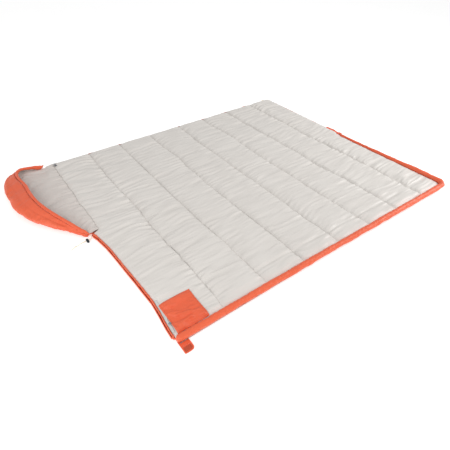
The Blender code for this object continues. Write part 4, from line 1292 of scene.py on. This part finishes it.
@dataclass
class Drawcord:
    """The free tail of the drawcord, its two knots and the lock."""

    hood: Hood
    steps: tuple[Point, ...] = (
        (0.0, 0.0, 0.0), (0.0026, -0.0030, -0.0025), (0.0046, -0.0068, -0.0058), (0.0048, -0.0112, -0.0096),
        (0.0024, -0.0152, -0.0131), (-0.0026, -0.0172, -0.0156), (-0.0090, -0.0176, -0.0167),
        (-0.0200, -0.0176, -0.0169), (-0.0320, -0.0176, -0.0169), (-0.0440, -0.0176, -0.0170),
        (-0.0530, -0.0180, -0.0183), (-0.0620, -0.0192, -0.0210), (-0.0720, -0.0212, -0.0219),
        (-0.0820, -0.0238, -0.0203), (-0.0910, -0.0272, -0.0215), (-0.1000, -0.0315, -0.0221),
        (-0.1080, -0.0362, -0.0222),
    )
    knot_step: int = 13
    samples: int = 4
    strand: float = 0.00125
    braid_pitch: float = 0.0021
    braid_height: float = 0.00010

    def route(self) -> np.ndarray:
        """The tail's middle line."""
        hem = self.hood.hem_points()
        out = hem[0] - hem[1]
        start = hem[0] + out / np.linalg.norm(out) * self.hood.gap
        return smooth_line(start + np.array(self.steps), self.samples)

    def knot(self, name: str, middle: np.ndarray, ahead: np.ndarray, node: str) -> bpy.types.Object:
        """A tight overhand knot of the cord.

        Args:
            name: the piece's name.
            middle: where it sits.
            ahead: which way the cord runs through it.
            node: the model's own knot, which it stands for.

        Returns:
            The knot.
        """
        t = np.linspace(0, TAU, 73)
        loop = np.stack([np.sin(t) + 2 * np.sin(2 * t), np.cos(t) - 2 * np.cos(2 * t), -np.sin(3 * t)], 1)
        turn = np.array(Vector(ahead).to_track_quat("Y", "Z").to_matrix())
        line = middle + (loop * (0.00068, 0.00088, 0.00095)) @ turn.T
        ring = tube(line, np.full((len(t), 8), self.strand))
        return attach(ring.piece(name, Look.CORD), "hood", "cream_cord", node)

    def build(self) -> list[bpy.types.Object]:
        """The tail with its knot, and the knot that anchors the cord's other end.

        Returns:
            The pieces.
        """
        line = self.route()
        fine = resample(line, 0.0009)
        length = np.linspace(0, line_length(fine), len(fine))[:, None]
        turn, twist = 2 * turns(10), TAU * length / self.braid_pitch
        braid = self.braid_height * np.sin(twist + turn) * np.sin(twist - turn)
        ends = np.minimum(length, length[-1] - length)
        radius = self.hood.cord_radius * (0.55 + 0.45 * rise(ends, 0.0, 0.0015))
        tail = tube(fine, radius + braid).piece("drawcord_free_tail", Look.CORD)
        index = self.knot_step * self.samples
        knot = self.knot("tail_knot", line[index], line[index + 1] - line[index - 1], "drawcord_knot")
        hem = self.hood.hem_points()
        on = unit(hem[-1] - hem[-2])
        seat = hem[-1] + on * (self.hood.knot_length / 2 + self.hood.gap)
        anchor = self.knot("anchor_knot", seat, on, "drawcord_anchor")
        attach(tail, "hood", "cream_cord", "drawcord_tail")
        LOG.info("drawcord tail %.1f mm", 1000 * line_length(fine))
        return [tail, knot, anchor]


@dataclass
class CordLock:
    """The sprung lock on the drawcord: ribbed barrel and domed plunger."""

    rib_wire: float = 0.0005
    ribs: int = 3

    def build(self) -> list[bpy.types.Object]:
        """Shapes both parts from cylinders.

        Returns:
            The two pieces.
        """
        low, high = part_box("cord_lock_barrel")
        x, z = (low.x + high.x) / 2, (low.z + high.z) / 2
        radius, length = (high.z - low.z) / 2, high.y - low.y
        barrel = Bench.cylinder(radius, length, 32, (x, (low.y + high.y) / 2, z), UPRIGHT)
        Bench.pick(barrel, lambda face: face.normal.y > FACING)
        Bench.push(0.0018, (0.0, 0.0009, 0.0))
        bpy.ops.object.mode_set(mode="OBJECT")
        Bench.pick(barrel, lambda face: face.normal.y < -FACING)
        Bench.push(0.0012, (0.0, 0.0018, 0.0))
        bpy.ops.object.mode_set(mode="OBJECT")
        Bench.bevel(barrel, 0.0007, 3)
        ring = Bench.torus(radius, self.rib_wire, (32, 6), UPRIGHT)
        places = [Matrix.Translation((x, low.y + length * (0.62 + 0.11 * k), z)) for k in range(self.ribs)]
        ribs = Bench.copies(ring, places, "cord_lock_ribs", Look.BLACK)
        Bench.finish(barrel, "cord_lock_body", Look.BLACK)
        low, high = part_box("cord_lock_plunger")
        middle = (x, (low.y + high.y) / 2, z)
        stand = Bench.cylinder((high.z - low.z) / 2, high.y - low.y, 28, middle, UPRIGHT)
        Bench.pick(stand, lambda face: face.normal.y < -FACING)
        Bench.push(0.0011, (0.0, -0.0006, 0.0))
        bpy.ops.object.mode_set(mode="OBJECT")
        Bench.bevel(stand, 0.0005, 3)
        Bench.finish(stand, "cord_lock_button", Look.BLACK)
        attach(barrel, "cord_lock", "black_plastic", "cord_lock_barrel")
        attach(ribs, "cord_lock", "black_plastic")
        attach(stand, "lock_plunger", "black_plastic", "cord_lock_plunger")
        return [barrel, ribs, stand]


# ---------------------------------------------------------------- trim


@dataclass
class Trim:
    """What is sewn on along the quilt's edges."""

    quilt: Quilt
    cloth: float = 0.0009
    stitch: tuple[float, float, float] = (0.0003, 0.0024, 0.00012)
    binding_size: Span = (0.0034, 0.0116)
    binding_power: float = 2.6
    binding_puckers: Folds = Folds(501, 0.015, 1.0, 0.0009)
    binding_folds: Folds = Folds(502, 0.05, 1.0, 0.0006)
    binding_swells: Folds = Folds(503, 0.022, 1.0, 0.05)
    binding_wave: Wave = Wave(505, 0.03, 0.0012)
    label_folds: Folds = Folds(511, 0.030, 0.10, 0.0052)
    label_pulls: Folds = Folds(514, 0.026, 0.09, 0.0034)
    label_creases: Folds = Folds(512, 0.013, 0.06, 0.0018)
    tape_folds: Folds = Folds(521, 0.026, 1.0, 0.0016)
    tape_puckers: Folds = Folds(522, 0.009, 1.0, 0.0005)
    strip_folds: Folds = Folds(541, 0.032, 1.0, 0.0030)
    flap_corners: Span = (0.003, 0.016)
    label_rise: float = 0.0034
    label_dip: float = -0.0018
    label_tuck: float = 0.0030
    border_inset: int = 2
    border_pitch: float = 0.0034
    flap_pitch: float = 0.003

    def build_binding(self) -> bpy.types.Object:
        """The folded orange binding along the front panel's head edge."""
        low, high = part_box("neck_binding")
        y = np.arange(low.y, high.y, 0.0030)
        x = self.quilt.head_at(y) - 0.0026 + self.binding_wave(y)
        path = np.stack([x, y, np.full_like(y, 0.0118)], 1)
        turn = turns(20)
        (wide, tall), power = self.binding_size, self.binding_power
        round_it = ((np.abs(np.cos(turn)) / wide) ** power + (np.abs(np.sin(turn)) / tall) ** power) ** (-1 / power)
        along = y[:, None]
        pucker = self.binding_puckers(along, 0.0) + self.binding_folds(along, 0.0)
        radii = round_it * (1 + self.binding_swells(along, 0.0)) + pucker
        piece = tube(self.quilt.relax(path), np.maximum(radii, 0.0012)).piece("neck_edge_binding", Look.SHELL)
        return attach(piece, "front", "orange_shell", "neck_binding")

    def build_label(self) -> list[bpy.types.Object]:
        """The plain sewn patch and its stitched border."""
        low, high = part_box("label_patch")
        x, y = np.meshgrid(np.linspace(low.x, high.x, 54), np.linspace(low.y, high.y, 58), indexing="ij")
        edge = np.minimum.reduce([x - low.x, high.x - x, y - low.y, high.y - y])
        skew = 0.004 * np.sin((x - low.x) / (high.x - low.x) * math.pi)
        pull = crown(edge, 0.02) * (
            self.label_folds(x + 0.7 * y, y - 0.7 * x)
            + self.label_pulls(y + 0.25 * x, x)
            + self.label_creases(y, x)
        )
        pucker = (1 - crown(edge, 0.012)) * 0.0005 * ripple(513, x / 0.008, y / 0.008)
        tuck = self.label_tuck * bell(y - low.y - 0.016 - 0.25 * (x - low.x), 0.006) * crown(edge, 0.006)
        z = self.quilt.lining_top(x, y) + self.label_rise + np.maximum(pull, self.label_dip) + tuck + pucker
        top = self.quilt.relax(np.stack([x, y + skew * rise(y, low.y + 0.04, high.y), z], -1))
        label = slab(top, self.cloth).piece("plain_label", Look.SHELL)
        attach(label, "front", "orange_shell", "label_patch")
        k = self.border_inset
        border = np.concatenate([top[k:-k, k], top[-k - 1, k:-k], top[k:-k, -k - 1][::-1], top[k, k:-k][::-1]])
        places = places_along(resample(border + (0, 0, 0.0002), self.border_pitch))
        stitches = Bench.copies(Bench.stitch(*self.stitch), places, "label_stitches", Look.ORANGE_THREAD)
        attach(stitches, "front", "orange_shell")
        return [label, stitches]

    def build_neck_tape(self) -> bpy.types.Object:
        """The puckered grey tape beside the binding."""
        low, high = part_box("neck_tape")
        y, t = np.meshgrid(np.linspace(low.y - 0.004, high.y, 90), np.linspace(0, 1, 9), indexing="ij")
        x = self.quilt.head_at(y) + 0.0012 + t * (high.x - low.x)
        wave = self.tape_folds(y, t * 0.7) + self.tape_puckers(y, t)
        z = np.maximum(self.quilt.lining_top(x, y), 0.0245) + 0.0016 + wave * (0.35 + 0.65 * t)
        piece = slab(self.quilt.relax(np.stack([x, y, z], -1)), 0.0008).piece("neck_grey_tape", Look.GREY)
        return attach(piece, "front", "grey_webbing", "neck_tape")

    def build_snap(self) -> bpy.types.Object:
        """The press stud on the neck tape: a turned cap with a rolled rim and a stud."""
        low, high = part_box("neck_snap")
        x, y, z = (low.x + high.x) / 2, (low.y + high.y) / 2, low.z + 0.0012
        cap = Bench.cylinder((high.x - low.x) / 2, 0.0010, 28, (x, y, z + 0.0005))
        Bench.pick(cap, lambda face: face.normal.z > FACING)
        Bench.push(0.0014, (0.0, 0.0, -0.0004))
        Bench.push(0.0012, (0.0, 0.0, 0.0022))
        bpy.ops.object.mode_set(mode="OBJECT")
        Bench.bevel(cap, 0.0003, 2)
        Bench.finish(cap, "neck_press_stud", Look.STEEL)
        return attach(cap, "front", "grey_steel", "neck_snap")

    def build_flap(self) -> list[bpy.types.Object]:
        """The garage flap, a little curled, with its stitched rectangle."""
        low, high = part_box("garage_flap")
        v, u = np.meshgrid(np.linspace(0, 1, 34), np.linspace(0, 1, 34), indexing="ij")
        deep = high.y - low.y
        depth = deep * v
        left, right = (
            size - np.sqrt(np.maximum(size**2 - np.clip(depth - deep + size, 0, size) ** 2, 0))
            for size in self.flap_corners
        )
        x = low.x + left + u * (high.x - low.x - left - right)
        y = high.y - depth
        edge = np.minimum.reduce([x - low.x, high.x - x, depth + 0.004, deep - depth])
        curl = (1 - crown(edge, 0.008)) * (0.0014 + 0.0012 * ripple(531, x / 0.012, y / 0.012))
        z = low.z + 0.0012 + np.maximum(curl, -0.0006)
        flap = slab(np.stack([x, y, z], -1), 0.0011).piece("garage_flap_cloth", Look.SHELL)
        attach(flap, "flap", "orange_shell", "garage_flap")
        patch_low, patch_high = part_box("garage_hook_patch")
        out = 0.0016
        corners = [
            (patch_low.x - out, patch_low.y - out), (patch_high.x - 0.006, patch_low.y - out),
            (patch_high.x + out, patch_low.y + 0.006), (patch_high.x + out, patch_high.y + out),
            (patch_low.x - out, patch_high.y + out), (patch_low.x - out, patch_low.y - out),
        ]
        places = []
        for a, b in zip(corners, corners[1:]):
            side = np.array([(*a, low.z + 0.0014), (*b, low.z + 0.0014)])
            places += places_along(resample(side, self.flap_pitch))
        stitches = Bench.copies(Bench.stitch(*self.stitch), places, "flap_stitches", Look.ORANGE_THREAD)
        attach(stitches, "flap", "orange_shell")
        return [flap, stitches]

    def build_end_strip(self) -> bpy.types.Object:
        """The flat strip past the tube's end, rippled along its free edge."""
        low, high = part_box("draft_end_strip")
        y, t = np.meshgrid(np.linspace(low.y, high.y, 60), np.linspace(0, 1, 10), indexing="ij")
        x = low.x + t * (high.x - low.x)
        z = high.z + t * (self.strip_folds(y, t) + 0.001)
        piece = slab(np.stack([x, y, z], -1), 0.0010).piece("end_strip_cloth", Look.SHELL)
        return attach(piece, "back", "orange_shell", "draft_end_strip")

    def build(self) -> list[bpy.types.Object]:
        """Every sewn-on piece.

        Returns:
            The pieces.
        """
        return [
            self.build_binding(),
            *self.build_label(),
            self.build_neck_tape(),
            self.build_snap(),
            *self.build_flap(),
            self.build_end_strip(),
        ]


@dataclass
class Zip:
    """The zip's two nylon coils, loop by loop."""

    quilt: Quilt
    offset: float = 0.0123
    height: float = 0.006
    end_inset: float = 0.014
    bottom_gap: float = 0.020
    pitch: float = 0.0017
    loop_radius: float = 0.00125
    wire: float = 0.00030
    core: float = 0.0006
    lean: float = 14.0
    stretch: Point = (1.12, 1.0, 0.84)

    def route(self, side: int) -> np.ndarray:
        """Where a coil runs round its panel."""
        quilt = self.quilt
        foot, edge = (quilt.foot, quilt.far) if side > 0 else (quilt.front_foot, quilt.near)
        centre = (foot - quilt.corner, edge - side * quilt.corner)
        radius = quilt.corner + self.offset
        line = [(quilt.head + self.end_inset, edge + side * self.offset)]
        for angle in np.linspace(math.pi / 2, 0, 19):
            line.append((centre[0] + radius * math.cos(angle), centre[1] + side * radius * math.sin(angle)))
        line.append((foot + self.offset, quilt.fold + side * self.bottom_gap))
        dense = []
        for (ax, ay), (bx, by) in zip(line, line[1:]):
            count = max(int(math.hypot(bx - ax, by - ay) / self.pitch), 1)
            for t in np.arange(count) / count:
                dense.append((ax + (bx - ax) * t, ay + (by - ay) * t, self.height))
        dense.append((*line[-1], self.height))
        return np.array(dense)

    def build(self) -> list[bpy.types.Object]:
        """The coils of both panels.

        Returns:
            The pieces.
        """
        pieces = []
        for body, side in (("back", 1), ("front", -1)):
            line = self.route(side)
            ring = Bench.torus(self.loop_radius, self.wire, (6, 3), UPRIGHT)
            shape = Matrix.Rotation(math.radians(self.lean), 4, "Z") @ Matrix.Diagonal((*self.stretch, 1.0))
            places = [place @ shape for place in places_along(line)]
            teeth = Bench.copies(ring, places, f"{body}_zip_loops", Look.COIL)
            core = tube(line[::4], np.full((len(line[::4]), 6), self.core)).piece(f"{body}_zip_core", Look.COIL)
            attach(teeth, body, "nylon_coil", f"{body}_zip_coil")
            attach(core, body, "nylon_coil")
            pieces += [teeth, core]
        return pieces


# ---------------------------------------------------------------- what the frame keeps


KEPT = {
    Look.TAPE: ("back_zip_tape", "front_zip_tape"),
    Look.STEEL: (
        "back_zip_stop", "front_zip_stop", "zip_insertion_pin", "head_slider_body", "head_slider_bridge",
        "head_slider_pull", "foot_slider_body", "foot_slider_bridge",
    ),
    Look.BLACK: ("zip_retaining_box",),
    Look.PULL: ("foot_slider_pull",),
    Look.CREAM: ("hanging_loop", "neck_cord_loop"),
    Look.GREY: ("anti_snag_tape",),
    Look.HOOKS: ("garage_loop_patch",),
    Look.ORANGE_HOOKS: ("garage_hook_patch",),
    Look.SHELL: ("far_edge_tab", "garage_flap_root"),
    Look.SPRING: ("cord_lock_spring",),
}


def dress_kept() -> None:
    """Gives every carried-over part its finish."""
    for look, names in KEPT.items():
        for name in names:
            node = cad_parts[name]
            for slot in node.material_slots:
                slot.material = look.material


# ---------------------------------------------------------------- the studio


@dataclass(frozen=True)
class Studio:
    """Camera, floor and soft lights."""

    eye: Point = (-1.237, -1.929, 1.270)
    heading: Span = (0.588, 0.809)
    pitch: float = 40.3
    lens: float = 29.9
    sky: float = 0.64
    key: float = 64.0
    fill: float = 44.0
    film: float = 36.0
    floor_span: float = 60.0
    floor_glow: float = 0.42

    def build(self) -> None:
        """Sets everything up."""
        scene = bpy.context.scene
        scene.view_settings.view_transform = "Standard"
        level = math.radians(self.pitch)
        flat = math.hypot(*self.heading)
        ahead, across = (part / flat * math.cos(level) for part in self.heading)
        forward = Vector((ahead, across, -math.sin(level)))
        data = bpy.data.cameras.new("camera")
        data.lens, data.sensor_width = self.lens, self.film
        data.clip_end = 100.0
        camera = bpy.data.objects.new("camera", data)
        camera.location = self.eye
        camera.rotation_euler = forward.to_track_quat("-Z", "Y").to_euler()
        bpy.context.collection.objects.link(camera)
        scene.camera = camera
        world = bpy.data.worlds.new("studio")
        world.use_nodes = True
        background = world.node_tree.nodes["Background"].inputs
        background["Color"].default_value = (1.0, 1.0, 1.0, 1.0)
        background["Strength"].default_value = self.sky
        scene.world = world
        self.light("key", (2.9, -1.9, 1.9), (0.2, -0.5, 0.0), 1.7, self.key)
        self.light("fill", (-2.9, -1.9, 1.9), (-0.6, -0.3, 0.0), 2.2, self.fill)
        shade = Shade("pale_floor")
        grain = shade.noise(3.0, 2.0)
        shade.feed(
            Base_Color=shade.tones(grain, (0.84, 0.84, 0.84), (0.87, 0.87, 0.87)),
            Roughness=0.9,
            Emission_Color=(1.0, 1.0, 1.0, 1.0),
            Emission_Strength=self.floor_glow,
        )
        span = self.floor_span
        points = np.array([(x, y, -0.0004) for y in (-span, span) for x in (-span, span)])
        floor = Surface(points, [(0, 1, 3, 2)]).piece("floor", Look.SHELL, False)
        floor.material_slots[0].material = shade.material

    def light(self, name: str, at: Point, target: Point, size: float, power: float) -> None:
        """Adds a square soft light.

        Args:
            name: its name.
            at: where it stands.
            target: what it faces.
            size: the side of its square.
            power: in watts.
        """
        data = bpy.data.lights.new(name, "AREA")
        data.size, data.energy = size, power
        obj = bpy.data.objects.new(name, data)
        obj.location = at
        obj.rotation_euler = (Vector(target) - Vector(at)).to_track_quat("-Z", "Y").to_euler()
        bpy.context.collection.objects.link(obj)


def main() -> None:
    """Builds the camera, the cord, then each sub-assembly in order."""
    logging.basicConfig(level=logging.INFO, format="%(message)s")
    Studio().build()
    quilt = Quilt()
    hood = Hood(quilt)
    steps: list[tuple[str, Callable[[], Any]]] = [
        ("drawcord", Drawcord(hood).build),
        ("lining", quilt.build_lining),
        ("shell", quilt.build_shell),
        ("stitches", quilt.build_stitches),
        ("draft tube", DraftTube(quilt).build),
        ("hood", hood.build_walls),
        ("hem", hood.build_hem),
        ("cord lock", CordLock().build),
        ("trim", Trim(quilt).build),
        ("zip", Zip(quilt).build),
        ("kept parts", dress_kept),
    ]
    for name, build in steps:
        build()
        LOG.info("built %s", name)


if __name__ == "__main__":
    main()
